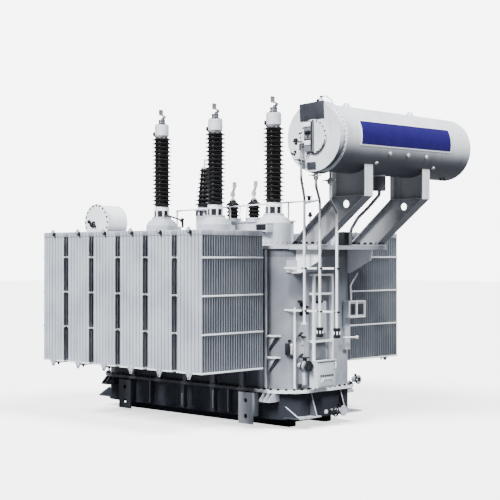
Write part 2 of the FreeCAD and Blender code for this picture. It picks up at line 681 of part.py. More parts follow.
# ---- pipes ------------------------------------------------------------------------
def pipe_valve(x, y, z):
    """A small ball valve on an upright pipe, with its lever held out level."""
    body = rod(PIPE_VALVE_RADIUS, (x, y, z - PIPE_VALVE_LENGTH / 2), (x, y, z + PIPE_VALVE_LENGTH / 2))
    lever = box(x, x + PIPE_LEVER, y - PIPE_VALVE_RADIUS - BAR, y - PIPE_VALVE_RADIUS + BAR, z, z + BAR * 2)
    return [body, lever]


def conservator_pipes():
    """Three small pipes with valves, from the near end of the conservator down past the tank's end."""
    front_y = DISC_FACE_Y - 60
    neck_y = CONS_NEAR_Y - CONS_FLANGE_THICK - COVER_NECK_LENGTH / 2
    shell_foot = CONS_Z - CONS_RADIUS
    x1, x2, x3 = PIPE_X
    t1, t2, t3 = PIPE_TURN
    tops = [(CONS_X - 180, front_y), (CONS_X - 20, neck_y), (CONS_X + 55, CONS_NEAR_Y + 165)]
    routes = [
        [(x1, PIPE_Y, PIPE_FOOT[0]), (x1, PIPE_Y, t1), (*tops[0], t1 + 220), (*tops[0], CONS_Z - 84),
         (tops[0][0], DISC_FACE_Y, CONS_Z - 84)],
        [(x2, PIPE_Y, PIPE_FOOT[1]), (x2, PIPE_Y, t2), (*tops[1], t2 + 180), (*tops[1], CONS_Z)],
        [(x3, PIPE_Y, PIPE_FOOT[2]), (x3, PIPE_Y, t3), (*tops[2], t3 + 150), (*tops[2], CONS_Z)],
    ]
    valve_levels = (shell_foot + 154, shell_foot - 76, shell_foot - 136)
    room = fused([shell_outline(), conservator_cover()])
    pipes = []
    for route, top, level in zip(routes, tops, valve_levels):
        pieces = [pipe(PIPE_RADIUS, route, PIPE_BEND)] + pipe_valve(*top, level)
        pipes.append(fused([piece.cut(room) for piece in pieces]))
    foot = rod(PIPE_VALVE_RADIUS + 11, (x1, PIPE_Y, PIPE_FOOT[0]), (x1, PIPE_Y, PIPE_FOOT[0] + PLATE))
    pipes[0] = fused([pipes[0], foot])
    return pipes


def breathers():
    """Drying canisters hanging under two of the pipes."""
    r = BREATHER_RADIUS
    canisters = []
    for x, foot in list(zip(PIPE_X, PIPE_FOOT))[1:]:
        low = foot - BREATHER_LENGTH
        canisters.append(turned([(0, low), (r * 0.7, low), (r, low + 15), (r, foot - 15), (r * 0.6, foot),
                                 (0, foot)], x, PIPE_Y))
    return canisters


def pipe_brackets():
    """Flat bars from the tank's corner that hold the pipes."""
    y = PIPE_Y + PIPE_RADIUS
    return [box(TANK_END - TANK_CORNER, PIPE_X[-1] + BAR_HEIGHT, y, y + BAR, z - BAR_HEIGHT / 2,
                z + BAR_HEIGHT / 2).cut(tank_outline()) for z in BRACKET_LEVELS]


def vent_pipe():
    """Thin gas pipe over the turrets to the first conservator pipe, with a leg down to each turret."""
    start = -HV_PITCH
    high = TURRET_TOP + 205
    low = TURRET_TOP + 115
    join = (PIPE_X[0], PIPE_Y, PIPE_TURN[0] - 90)
    corner_x = TANK_END - 250
    main = pipe(VENT_RADIUS, [(start, VENT_Y, low), (corner_x, VENT_Y, high), join], PIPE_BEND)
    pieces = [main]
    for n in (-1, 0, 1):
        x = n * HV_PITCH + (VENT_RADIUS if n < 0 else 0)
        z = low + (high - low) * (x - start) / (corner_x - start)
        side = HV_Y + TURRET_RADIUS
        foot_z = TURRET_TOP - 220
        pieces.append(pipe(VENT_RADIUS, [(x, side, foot_z), (x, VENT_Y, foot_z), (x, VENT_Y, z)], PIPE_BEND))
    return fused(pieces).cut(rod(PIPE_RADIUS, (*join[:2], PIPE_FOOT[0]), (*join[:2], PIPE_TURN[0])))


def oil_pipe():
    """The main pipe from the sump, over the end of the tank and down on to its cover shelf."""
    y = OIL_PIPE_Y
    foot = OIL_PIPE_FOOT_X
    sump_foot = CONS_Z - CONS_RADIUS - SUMP_DROP
    route = [(CONS_X, y, sump_foot), (CONS_X, y, sump_foot - 60), (CONS_X - 230, y, sump_foot - 260),
             (foot + 145, y, COVER_TOP + 420), (foot, y, COVER_TOP + 230), (foot, y, COVER_TOP)]
    return pipe(OIL_PIPE_RADIUS, route, 200)


def gas_relay():
    """Relay beside the foot of the oil pipe, on the shelf."""
    x1 = OIL_PIPE_FOOT_X - OIL_PIPE_RADIUS - VALVE_FLANGE
    return box(x1 - RELAY_LENGTH, x1, OIL_PIPE_Y - RELAY_HALF, OIL_PIPE_Y + RELAY_HALF, COVER_TOP,
               COVER_TOP + RELAY_HEIGHT)


# ---- equipment on the end wall ----------------------------------------------------
def end_frame():
    """A ladder-like frame that carries the cabling on the end wall."""
    x0 = TANK_END + LADDER_STANDOFF
    x1 = x0 + LADDER_BAR
    y0, y1 = LADDER_Y
    z0 = JOINT_Z + JOINT_THICK
    stiles = ((y0, y0 + LADDER_BAR), (y1 - LADDER_BAR, y1))
    pieces = [box(x0, x1, *stile, z0, LADDER_TOP) for stile in stiles]
    for z in LADDER_RUNGS + (LADDER_TOP - LADDER_BAR,):
        pieces.append(box(x0, x1, y0, y1, z, z + LADDER_BAR))
        pieces += [box(TANK_END, x0, *stile, z, z + LADDER_BAR) for stile in stiles]
    return fused(pieces)


def drive_cabinet():
    """The tap changer's drive, on the front of the ladder frame."""
    x0 = TANK_END + LADDER_STANDOFF + LADDER_BAR
    return box(x0, x0 + CABINET_DEPTH, *CABINET_Y, *CABINET_Z)


def indicator_box():
    """Temperature indicators in one box, with its cable duct down the tank's corner."""
    wall = TANK_END - TANK_CORNER
    x0 = TANK_END + PLATE
    z0, z1 = INDICATOR_Z
    case = box(x0, x0 + INDICATOR_DEPTH, *INDICATOR_Y, z0, z1)
    duct = box(wall, TANK_END + DUCT_DEPTH, *DUCT_Y, DUCT_Z, (z0 + z1) / 2)
    return fused([case, duct]).cut(tank_outline())


def drain_valve():
    """Bottom outlet with a drilled flange for the oil hose."""
    tip = TANK_END + DRAIN_REACH
    face = tip - PLATE
    valve = fused([rod(DRAIN_RADIUS, (TANK_END, DRAIN_Y, DRAIN_Z), (tip, DRAIN_Y, DRAIN_Z)),
                   rod(DRAIN_FLANGE, (face, DRAIN_Y, DRAIN_Z), (tip, DRAIN_Y, DRAIN_Z))])
    for n in range(4):
        angle = math.pi / 4 + n * math.pi / 2
        y = DRAIN_Y + DRAIN_BOLT_CIRCLE / 2 * math.cos(angle)
        z = DRAIN_Z + DRAIN_BOLT_CIRCLE / 2 * math.sin(angle)
        valve = valve.cut(rod(DRAIN_HOLE_RADIUS, (face - PLATE, y, z), (tip + PLATE, y, z)))
    return valve


def filter_valve():
    """Blanked filter valve on the rounded corner."""
    tip = TANK_END + FILTER_REACH
    y, z = FILTER_Y, FILTER_Z
    body = rod(DRAIN_RADIUS, (TANK_END - TANK_CORNER, y, z), (tip, y, z))
    flanges = [rod(DRAIN_FLANGE, (x - PLATE, y, z), (x, y, z)) for x in (tip, tip - 3 * PLATE)]
    return fused([body] + flanges).cut(tank_outline())


def tap_changer_drum():
    """Small drum with a bolted end, its saddle standing on the cover."""
    y0, y1 = DRUM_Y
    drum = rod(DRUM_RADIUS, (DRUM_X, y0, DRUM_Z), (DRUM_X, y1, DRUM_Z))
    rim = rod(DRUM_RADIUS + DRUM_RIM, (DRUM_X, y0, DRUM_Z), (DRUM_X, y0 + DRUM_RIM, DRUM_Z))
    saddle = box(DRUM_X + SADDLE_X[0], DRUM_X + SADDLE_X[1], *SADDLE_Y, COVER_TOP, DRUM_Z)
    return fused([drum, rim, saddle])


# ---- assembly ---------------------------------------------------------------------
os.makedirs("parts", exist_ok=True)

save("skid_beams", *skid_beams())
save("base_cross_beams", *cross_beams())
save("base_plate", tank_slab(BASE_LIP, SKID_HEIGHT, TUB_FOOT))
save("lower_tank", tank_slab(0, TUB_FOOT, JOINT_Z - JOINT_THICK))
save("lower_flange", tank_slab(JOINT_REACH, JOINT_Z - JOINT_THICK, JOINT_Z))
save("upper_flange", tank_slab(JOINT_REACH, JOINT_Z, JOINT_Z + JOINT_THICK))
save("upper_tank", tank_slab(0, JOINT_Z + JOINT_THICK, COVER_TOP - COVER_THICK))
save("top_cover", tank_slab(COVER_REACH, COVER_TOP - COVER_THICK, COVER_TOP))
save("base_stiffeners", *base_stiffeners())
save("bell_stiffeners", *bell_stiffeners())
save("jacking_pads", *four_corners(jacking_pad()))
drain_room = rod(DRAIN_FLANGE + DRAIN_ROOM, (TANK_END, DRAIN_Y, DRAIN_Z),
                 (TANK_END + DRAIN_REACH, DRAIN_Y, DRAIN_Z))
towing = [bracket.cut(drain_room) for bracket in four_corners(towing_bracket())]
save("pulling_brackets", *four_corners(hauling_bracket()), *towing)

one_radiator = radiator()
one_radiator.translate(V(0, -RADIATOR_FACE, 0))
valves = []
for n in range(RADIATORS):
    front = one_radiator.copy()
    front.translate(V(radiator_x(n), 0, 0))
    save("radiator_front_%d" % (n + 1), front)
    save("radiator_back_%d" % (n + 1), mirrored(front, (0, 1, 0)))
    valves += radiator_valves(n)
save("radiator_valves", *valves, *[mirrored(valve, (0, 1, 0)) for valve in valves])

for n in range(3):
    x = (n - 1) * HV_PITCH
    sheds = shed_profile(HV_CORE_RADIUS, HV_SHED_RADIUS, HV_BASE_TOP, HV_SHED_TOP, HV_SHEDS)
    save("hv_turret_%d" % (n + 1), hv_turret(x))
    save("hv_porcelain_%d" % (n + 1), turned(sheds, x, HV_Y))
    save("hv_terminal_%d" % (n + 1), hv_terminal(x))

neutral_sheds = shed_profile(110, 180, NEUTRAL_TURRET_TOP, NEUTRAL_SHED_TOP, NEUTRAL_SHEDS, 0.55)
save("neutral_turret", neutral_turret())
save("neutral_porcelain", turned(neutral_sheds, NEUTRAL_X, LV_Y))
save("neutral_terminal", neutral_terminal())
save("low_voltage_box", low_voltage_box())
save("low_voltage_porcelains", *[low_voltage_porcelain(x) for x in LV_X])
save("low_voltage_terminals", *[low_voltage_terminal(x) for x in LV_X])

save("conservator_shell", conservator_shell())
save("conservator_cover", conservator_cover())
save("conservator_dished_end", conservator_dished_end())
save("oil_level_gauge", level_gauge())
save("support_shelf", support_shelf())
save("shelf_gussets", *shelf_gussets())
save("support_frame_front", support_frame(FRAME_Y[0]))
save("support_frame_back", support_frame(FRAME_Y[1]))

save("conservator_pipes", *conservator_pipes())
save("breathers", *breathers())
save("pipe_brackets", *pipe_brackets())
save("vent_pipe", vent_pipe())
save("oil_pipe", oil_pipe())
save("gas_relay", gas_relay())

save("end_frame", end_frame())
save("drive_cabinet", drive_cabinet())
save("indicator_box", indicator_box())
save("oil_valves", drain_valve(), filter_valve())
save("tap_changer_drum", tap_changer_drum())
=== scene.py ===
# %% [markdown]
# # Finishing a power transformer
# The construction is already fixed: tank, radiators, bushings and conservator come in as a frame of named
# nodes at their real size, in metres. This lesson gives every one of them its finish, and adds the small
# repeated things, such as bolts, fins and sheds, that make it read as the real machine. The ground is z = 0,
# the conservator end points to +X, and the front row of radiators to -Y.

# %% Load the frame
import bpy
import bmesh
import json
import math
from mathutils import Matrix, Vector


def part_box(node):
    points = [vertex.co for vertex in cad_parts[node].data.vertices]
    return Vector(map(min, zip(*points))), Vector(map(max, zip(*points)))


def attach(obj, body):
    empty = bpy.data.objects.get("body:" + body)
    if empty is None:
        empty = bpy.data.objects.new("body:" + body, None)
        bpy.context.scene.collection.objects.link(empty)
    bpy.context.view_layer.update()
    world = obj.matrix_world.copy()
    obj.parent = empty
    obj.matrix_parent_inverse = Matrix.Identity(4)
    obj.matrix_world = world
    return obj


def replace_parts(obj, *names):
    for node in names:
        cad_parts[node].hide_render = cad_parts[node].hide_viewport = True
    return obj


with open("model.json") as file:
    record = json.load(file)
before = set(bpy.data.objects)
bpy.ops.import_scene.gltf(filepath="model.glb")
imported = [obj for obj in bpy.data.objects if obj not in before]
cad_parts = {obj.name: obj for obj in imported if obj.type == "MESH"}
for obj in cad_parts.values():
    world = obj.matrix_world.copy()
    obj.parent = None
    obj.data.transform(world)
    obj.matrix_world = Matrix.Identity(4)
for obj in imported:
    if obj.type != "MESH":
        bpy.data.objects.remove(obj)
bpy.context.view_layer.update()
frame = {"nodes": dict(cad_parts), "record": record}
nodes = frame["nodes"]

# %% [markdown]
# ## Node trees as sums
# Materials and Geometry Nodes are both trees, and long trees are hard to read. One small class wraps an
# output socket, so that `1 - mask * 0.4` adds the Math nodes by itself, and a second one adds any other node
# in one call: its type, its settings, then what goes into its sockets. Colours are mixed with a Mix node,
# never with Math, because a Math node would turn them grey.

# %% A socket that does arithmetic
def maths(operation, swapped=False):
    """A method that adds one Math node."""
    def method(self, *others):
        values = (*others, self) if swapped else (self, *others)
        node = self.tree.node("ShaderNodeMath", {"operation": operation}, dict(enumerate(values)))
        return Signal(self.tree, node.outputs[0])
    return method


class Signal:
    """A number that varies over a surface, ready for + - * / and powers."""

    def __init__(self, tree, socket):
        self.tree = tree
        self.socket = socket

    __add__ = __radd__ = maths("ADD")
    __sub__, __rsub__ = maths("SUBTRACT"), maths("SUBTRACT", swapped=True)
    __mul__ = __rmul__ = maths("MULTIPLY")
    __truediv__, __pow__ = maths("DIVIDE"), maths("POWER")
    absolute, sine, fraction = maths("ABSOLUTE"), maths("SINE"), maths("FRACT")
    lesser, greater = maths("MINIMUM"), maths("MAXIMUM")


# %% A tree whose nodes are added by calls
class Tree:
    """Any node tree."""

    def __init__(self, nodes_and_links):
        self.tree = nodes_and_links

    def node(self, kind, settings=None, inputs=None):
        """Any node: its settings first, then the values or links of its sockets."""
        made = self.tree.nodes.new(kind)
        for key, value in (settings or {}).items():
            setattr(made, key, value)
        for key, value in (inputs or {}).items():
            self.feed(made.inputs[key], value)
        return made

    def feed(self, socket, value):
        if isinstance(value, Signal):
            value = value.socket
        if isinstance(value, (list, tuple)) and isinstance(value[0], bpy.types.NodeSocket):
            for one in reversed(value):
                self.tree.links.new(one, socket)
        elif isinstance(value, bpy.types.NodeSocket):
            self.tree.links.new(value, socket)
        else:
            socket.default_value = value

    def band(self, value, low, high):
        """0 below low, 1 above high, smooth between."""
        made = self.node("ShaderNodeMapRange", {"interpolation_type": "SMOOTHSTEP"},
                         {"Value": value, "From Min": low, "From Max": high})
        return Signal(self, made.outputs["Result"])

    def fade(self, value, low, high):
        """1 below low, 0 above high, smooth between."""
        return 1.0 - self.band(value, low, high)

    def split(self, vector, axis):
        parts = self.node("ShaderNodeSeparateXYZ", {}, {0: vector})
        return Signal(self, parts.outputs["XYZ".index(axis)])


# %% A material under construction
BUMP_STRENGTH = 0.6


def rgb(red, green, blue):
    return (red, green, blue, 1.0)


class Paint(Tree):
    """A material on Object coordinates, in metres."""

    def __init__(self, name):
        self.material = bpy.data.materials.new(name)
        self.material.use_nodes = True
        super().__init__(self.material.node_tree)
        self.shader = self.tree.nodes["Principled BSDF"]
        self.place = self.node("ShaderNodeTexCoord").outputs["Object"]

    def noise(self, scale, detail=3.0, roughness=0.55, stretch=(1, 1, 1)):
        """Cloudy noise, drawn out along an axis by a small stretch value."""
        mapped = self.node("ShaderNodeMapping", {}, {"Vector": self.place, "Scale": stretch})
        made = self.node("ShaderNodeTexNoise", {}, {"Vector": mapped.outputs[0], "Scale": scale,
                                                    "Detail": detail, "Roughness": roughness})
        return Signal(self, made.outputs["Fac"])

    def blend(self, factor, first, second):
        """Colour first where factor is 0, second where it is 1."""
        made = self.node("ShaderNodeMix", {"data_type": "RGBA"}, {0: factor, 6: first, 7: second})
        return made.outputs[2]

    def facing(self, axis):
        """How far the surface faces along an axis, from -1 to 1."""
        return self.split(self.node("ShaderNodeNewGeometry").outputs["Normal"], axis)

    def along(self, axis):
        """The place on an axis, in metres."""
        return self.split(self.place, axis)

    def finish(self, colour, roughness, bump, bump_depth, **fixed):
        """Feed the shader; fixed values go straight on its own sockets."""
        self.feed(self.shader.inputs["Base Color"], colour)
        self.feed(self.shader.inputs["Roughness"], roughness)
        made = self.node("ShaderNodeBump", {}, {"Height": bump, "Distance": bump_depth,
                                                "Strength": BUMP_STRENGTH})
        self.feed(self.shader.inputs["Normal"], made.outputs[0])
        for key, value in fixed.items():
            self.shader.inputs[key.replace("_", " ")].default_value = value
        print("material", self.material.name, len(self.tree.nodes), "nodes")
        return self.material


# %% [markdown]
# ## Weathered grey enamel
# Tank, radiators and conservator carry a cool light grey enamel that has stood outdoors. Three things keep it
# from looking like plastic: slow cloudy fading, narrow runs of dirt down the walls, and painted shade, a
# darker colour on everything that faces the ground. Painted images could show this too, but they need
# unwrapping and blur up close, so every mark is worked out from its place on the machine. Each darkening is
# such a rule of its own: it says where one part is darker, from real stains or from painted shade.

# %% Where the enamel is stained or painted with shade
FULL, HEAVY, LIGHT = 0.96, 0.62, 0.28
SHADE_LINE = (0.90, 1.02)
END_WALL = (1.60, 1.66)
COVER_EDGE = (2.59, 2.62)
BAND_FOOT = (2.355, 2.365)
RADIATOR_PITCH = 0.636
FLUTES = 7.0
PANEL_WIDTH = 0.52


def under_radiators(paint, clouds):
    """Painted shade: the long sides are darkened low down, below the radiators, where the radiators shade
    them.
    """
    ends = paint.band(paint.along("X"), 1.52, 1.66).greater(paint.band(paint.facing("X") * -1.0, 0.35, 0.8))
    return paint.fade(paint.along("Z") + clouds * 0.05, *SHADE_LINE) * (1.0 - ends) * FULL


def around_the_tank(paint, clouds):
    """Painted shade as under the radiators; on the end wall painted shadow below the cover, beside the ladder
    and by the band, painted shade on the corner turned to the front, and real mottled weathering.
    """
    across, up = paint.along("Y"), paint.along("Z")
    under_cover = paint.band(up + clouds * 0.03, *COVER_EDGE) * 0.72
    by_ladder = paint.band(across, -0.10, 0.02) * paint.band(up + clouds * 0.5, 1.75, 2.25) * 0.55
    below_band = paint.band(across + clouds * 0.1, -0.76, -0.60) * paint.fade(across, -0.50, -0.45)
    below_band = below_band * paint.band(up + clouds * 0.4, 1.95, 2.35) * paint.fade(up, *BAND_FOOT) * 0.65
    corner = paint.band(paint.facing("Y") * -1.0, 0.2, 0.9) * (0.30 + clouds * 0.40)
    patches = paint.band(paint.noise(24.0, 5.0, 0.75, (1, 1, 0.45)), 0.46, 0.72) * 0.30
    mottled = paint.band(clouds, 0.3, 0.8) * 0.22 + patches
    dark = under_cover.greater(by_ladder).greater(below_band).greater(corner).greater(mottled)
    return (dark * paint.band(paint.along("X"), *END_WALL)).greater(under_radiators(paint, clouds))


def on_the_webs(paint, clouds):
    """Painted shade: the upright webs of the frames, facing Y, are darkened where the conservator shades them;
    the flanges keep the pale paint.
    """
    return paint.band(paint.facing("Y").absolute(), 0.6, 0.95) * (0.60 + clouds * 0.2)


def above_the_shelf(paint, clouds):
    """The pipes are darker high up, above about 3 m."""
    return paint.band(paint.along("Z") + clouds * 0.1, 2.95, 3.12) * HEAVY


def below_the_drain(paint, clouds):
    """The body of the low valve is soaked with oil, up to its bolted face."""
    low = paint.fade(paint.along("Z"), 0.38, 0.42)
    return low * paint.fade(paint.along("X") + clouds * 0.01, 2.348, 2.354) * FULL


def away_from_drain(paint, clouds):
    """Painted shade: brackets and pads are darkened, except those by the drain, the towing brackets' end rims
    and low top faces, which keep the pale paint.
    """
    side = paint.band(paint.along("Y").absolute(), 0.755, 0.765)
    unstained = side * paint.band(paint.along("X") + clouds * 0.05, 1.0, 1.1)
    rims = paint.band(paint.facing("X").absolute(), 0.7, 0.9)
    rims = rims * paint.band(paint.along("X").absolute(), 2.19, 2.21)
    tops = paint.band(paint.facing("Z"), 0.7, 0.9) * paint.fade(paint.along("Z"), 0.20, 0.22) * 0.7
    return (1.0 - unstained.greater(rims).greater(tops)) * 0.97


def on_the_end(paint, clouds):
    """Painted shade: the end of the base faces the light, so its colour is darkened to look as dark as the
    sides in the shade.
    """
    return paint.band(paint.along("X").absolute() + clouds * 0.1, 1.25, 1.7) * 0.8


def under_the_drum(paint, clouds):
    """Painted shade: the lower half of the conservator, facing the ground, is darkened, and darkest at its
    bottom.
    """
    sump = paint.fade(paint.along("Z"), 3.79, 3.80) * 0.93
    return (paint.band(paint.facing("Z") * -1.0 + clouds * 0.1, 0.0, 0.70) * 0.86).greater(sump)


def shade_in_flutes(paint, clouds):
    """Painted shade darkens the valleys between the flutes of a panel, and lies in streaks on the panel edges
    between the panels.
    """
    place = paint.along("X") / RADIATOR_PITCH + 10.0
    across = (place.fraction() - 0.5) * (RADIATOR_PITCH * FLUTES * math.pi / PANEL_WIDTH)
    wave = (across + math.pi / 2).sine().absolute()
    face = paint.band(paint.facing("Y").absolute(), 0.6, 0.95)
    side = paint.band(paint.facing("X").absolute(), 0.6, 0.95)
    gap_shade = paint.band(paint.noise(9.0, 3.0, 0.6, (0.01, 1.0, 0.03)), 0.40, 0.62)
    return paint.fade(wave, 0.0, 0.66) * face * (0.46 + clouds * 0.4) + side * gap_shade * LIGHT


# %% Enamel
PALE, FADED = rgb(0.46, 0.485, 0.53), rgb(0.38, 0.405, 0.455)
WASHED, CHALKY = rgb(0.80, 0.82, 0.85), rgb(0.70, 0.72, 0.76)
GRIME_AND_SHADE, DUST_AND_SHADE, SOOT_AND_SHADE = rgb(0.028, 0.034, 0.05), rgb(0.05, 0.06, 0.08), rgb(0.034, 0.038, 0.050)


def enamel(name, unstained, faded, grime_and_shade, dirt, roughness, shade=0.85, stain_and_shade=None, gloss=0.35, soot_and_shade=SOOT_AND_SHADE):
    """Enamel with an optional rule, a function of the paint that says where it is darkened by real stains or
    by painted shade.
    """
    paint = Paint(name)
    clouds = paint.noise(1.7, 4.0)
    grain = paint.noise(60.0, 2.0)
    runs = paint.band(paint.noise(9.0, 3.0, 0.6, (1, 1, 0.06)), 0.56, 0.78)
    # Painted shade: faces turned to the ground are darkened by the shade factor towards the dark colour.
    underside = paint.band(paint.facing("Z") * -1.0, 0.12, 0.8)
    speck = paint.band(paint.noise(34.0, 4.0, 0.7), 0.66, 0.74)
    colour = paint.blend(paint.band(clouds, 0.35, 0.7), unstained, faded)
    for factor in (runs * dirt, underside * shade, speck * dirt * 0.5):
        colour = paint.blend(factor, colour, grime_and_shade)
    # The last dark colour goes where real stains or painted shade darken the paint.
    if stain_and_shade is not None:
        colour = paint.blend(stain_and_shade(paint, clouds), colour, soot_and_shade)
    return paint.finish(colour, roughness + runs * 0.2 + clouds * 0.1, grain + clouds * 0.5, 0.0012,
                        Specular_IOR_Level=gloss)


light_enamel = enamel("light_enamel", PALE, FADED, GRIME_AND_SHADE, 0.3, 0.45)
tank_enamel = enamel("tank_enamel", rgb(0.37, 0.395, 0.44), rgb(0.28, 0.305, 0.35), GRIME_AND_SHADE, 0.5, 0.45,
                     stain_and_shade=around_the_tank)
radiator_enamel = enamel("radiator_enamel", rgb(0.39, 0.42, 0.465), rgb(0.30, 0.33, 0.38),
                         rgb(0.03, 0.036, 0.05), 0.22, 0.42, stain_and_shade=shade_in_flutes)
drum_enamel = enamel("drum_enamel", rgb(0.66, 0.69, 0.73), rgb(0.56, 0.59, 0.64), GRIME_AND_SHADE, 0.22, 0.4,
                     shade=0.9, stain_and_shade=under_the_drum)
frame_enamel = enamel("frame_enamel", WASHED, CHALKY, GRIME_AND_SHADE, 0.25, 0.4, stain_and_shade=on_the_webs)
pipe_enamel = enamel("pipe_enamel", WASHED, CHALKY, GRIME_AND_SHADE, 0.15, 0.4, stain_and_shade=above_the_shelf)
valve_enamel = enamel("valve_enamel", PALE, FADED, GRIME_AND_SHADE, 0.4, 0.45, stain_and_shade=below_the_drain)
tie_enamel = enamel("tie_enamel", WASHED, CHALKY, DUST_AND_SHADE, 0.12, 0.4)
joint_enamel = enamel("joint_enamel", WASHED, rgb(0.66, 0.69, 0.73), DUST_AND_SHADE, 0.2, 0.4, stain_and_shade=under_radiators)
bracket_enamel = enamel("bracket_enamel", PALE, FADED, GRIME_AND_SHADE, 0.35, 0.45, stain_and_shade=away_from_drain)
dark_enamel = enamel("dark_enamel", rgb(0.072, 0.078, 0.098), rgb(0.045, 0.050, 0.066),
                     rgb(0.010, 0.012, 0.017), 0.5, 0.6, stain_and_shade=on_the_end, gloss=0.1,
                     soot_and_shade=rgb(0.011, 0.013, 0.018))

# %% [markdown]
# ## Porcelain, cast metal and small fittings
# The insulators are glazed porcelain, almost black with a brown cast, and the glaze is what the eye sees: a
# low roughness with a clear coat. A darker colour alone would look like rubber. Bushing heads and clamps are
# bare cast aluminium, dull and slightly pitted.

# %% Glaze, metal and plain coats
CLAMP_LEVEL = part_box("hv_porcelain_1")[1].z + 0.225


def glaze():
    paint = Paint("brown_glaze")
    clouds = paint.noise(14.0, 3.0)
    colour = paint.blend(clouds, rgb(0.0018, 0.0016, 0.002), rgb(0.005, 0.004, 0.0045))
    dust = paint.band(paint.facing("Z"), 0.5, 1.0)
    colour = paint.blend(dust * 0.2, colour, rgb(0.035, 0.035, 0.042))
    return paint.finish(colour, 0.24 + dust * 0.3 + clouds * 0.05, clouds, 0.0006, Coat_Weight=0.15,
                        Coat_Roughness=0.15, Specular_IOR_Level=0.25)


def bare_metal(name, bright, dull, roughness, metallic, dark_above=None):
    """Cast or rolled metal, weathered darker above a height where one is given."""
    paint = Paint(name)
    clouds = paint.noise(11.0, 4.0)
    pits = paint.noise(140.0, 3.0)
    colour = paint.blend(paint.band(clouds, 0.3, 0.7), bright, dull)
    if dark_above is not None:
        high = paint.band(paint.along("Z"), dark_above, dark_above + 0.01)
        colour = paint.blend(high * (0.45 + clouds * 0.6), colour, rgb(0.05, 0.053, 0.062))
    return paint.finish(colour, roughness + clouds * 0.15, pits, 0.0006, Metallic=metallic)


def plain_coat(name, colour, worn, roughness, **fixed):
    paint = Paint(name)
    clouds = paint.noise(8.0, 3.0)
    grain = paint.noise(120.0, 2.0)
    return paint.finish(paint.blend(paint.band(clouds, 0.3, 0.75), colour, worn), roughness + grain * 0.08,
                        grain, 0.0005, **fixed)


brown_glaze = glaze()
cast_aluminium = bare_metal("cast_aluminium", rgb(0.66, 0.68, 0.71), rgb(0.50, 0.52, 0.56), 0.4, 0.3)
head_metal = bare_metal("head_metal", rgb(0.70, 0.72, 0.75), rgb(0.54, 0.56, 0.60), 0.4, 0.2,
                        dark_above=CLAMP_LEVEL)
dark_steel = bare_metal("dark_steel", rgb(0.02, 0.022, 0.028), rgb(0.010, 0.011, 0.015), 0.45, 0.3)
black_fitting = plain_coat("black_fitting", rgb(0.006, 0.007, 0.010), rgb(0.013, 0.014, 0.018), 0.45,
                           Specular_IOR_Level=0.2)
white_coat = plain_coat("white_coat", rgb(0.84, 0.85, 0.87), rgb(0.74, 0.755, 0.78), 0.35)
blue_coat = plain_coat("blue_coat", rgb(0.007, 0.002, 0.085), rgb(0.010, 0.004, 0.10), 0.5,
                       Specular_IOR_Level=0.25)
plate_grey = plain_coat("plate_grey", rgb(0.020, 0.023, 0.030), rgb(0.032, 0.036, 0.044), 0.5,
                        Specular_IOR_Level=0.2)
gauge_grey = plain_coat("gauge_grey", rgb(0.10, 0.108, 0.125), rgb(0.15, 0.16, 0.18), 0.4)

# %% [markdown]
# ## Painting the frame
# Every node names the material slot it belongs to, and a slot has one usual finish. The nodes that are
# stained, painted with shade or worn in a way of their own are listed by name.

# %% Finish of each node that stays
SLOT_FINISH = {"porcelain": brown_glaze, "terminal_metal": cast_aluminium, "radiator_paint": radiator_enamel,
               "base_paint": dark_enamel, "breather_glass": black_fitting, "gauge_plastic": gauge_grey,
               "relay_metal": dark_steel, "tank_paint": light_enamel}
OWN_FINISH = {
    tank_enamel: ("upper_tank", "bell_stiffeners"),
    joint_enamel: ("upper_flange", "lower_flange"),
    bracket_enamel: ("pulling_brackets", "jacking_pads"),
    pipe_enamel: ("conservator_pipes",),
    tie_enamel: ("pipe_brackets", "vent_pipe", "end_frame", "tap_changer_drum", "shelf_gussets"),
    frame_enamel: ("support_frame_front", "support_frame_back"),
    drum_enamel: ("conservator_shell", "conservator_cover", "conservator_dished_end"),
    gauge_grey: ("oil_pipe",),
    valve_enamel: ("oil_valves",),
    head_metal: ("hv_terminal_1", "hv_terminal_2", "hv_terminal_3"),
}
finish_of = {name: finish for finish, names in OWN_FINISH.items() for name in names}
slots = {part["node"]: part["material_slot"] for part in frame["record"]["subparts"]}
for name, node in nodes.items():
    node.data.materials.clear()
    node.data.materials.append(finish_of.get(name, SLOT_FINISH[slots[name]]))
print(len(nodes), "nodes painted")

# %% [markdown]
# ## Pieces made one by one
# Small one-off parts, such as lugs, boxes and knobs, are collected in one mesh as bevelled blocks, turned
# profiles and cut plates. Blender's own boxes and cylinders have sharp edges that never catch light, so every
# block gets a small bevel, and a turned part is a list of radii and heights, as on a lathe drawing.

# %% A collector for solids
SPIN = {"X": Matrix(((0, 0, 1), (1, 0, 0), (0, 1, 0))), "Y": Matrix(((1, 0, 0), (0, 0, 1), (0, 1, 0))),
        "Z": Matrix.Identity(3)}
CREASE = math.radians(38)
BEVEL_SHARE, KNOB_SHARE, SAME_LEVEL = 0.3, 0.35, 1e-6
KNOB_SIDES, CONDUIT_SIDES, SHED_SIDES = 16, 12, 32


def tilt(angle, axis):
    """A turn by an angle in degrees."""
    return Matrix.Rotation(math.radians(angle), 4, axis)


def stem(radius, length):
    """The profile of a plain round bar."""
    return [(0, 0), (radius, 0), (radius, length), (0, length)]


def blind_flange(radius, thick):
    """The profile of a flange with eased rims."""
    return [(0, 0), (radius - 0.004, 0), (radius, 0.006), (radius, thick - 0.006), (radius - 0.004, thick),
            (0, thick)]


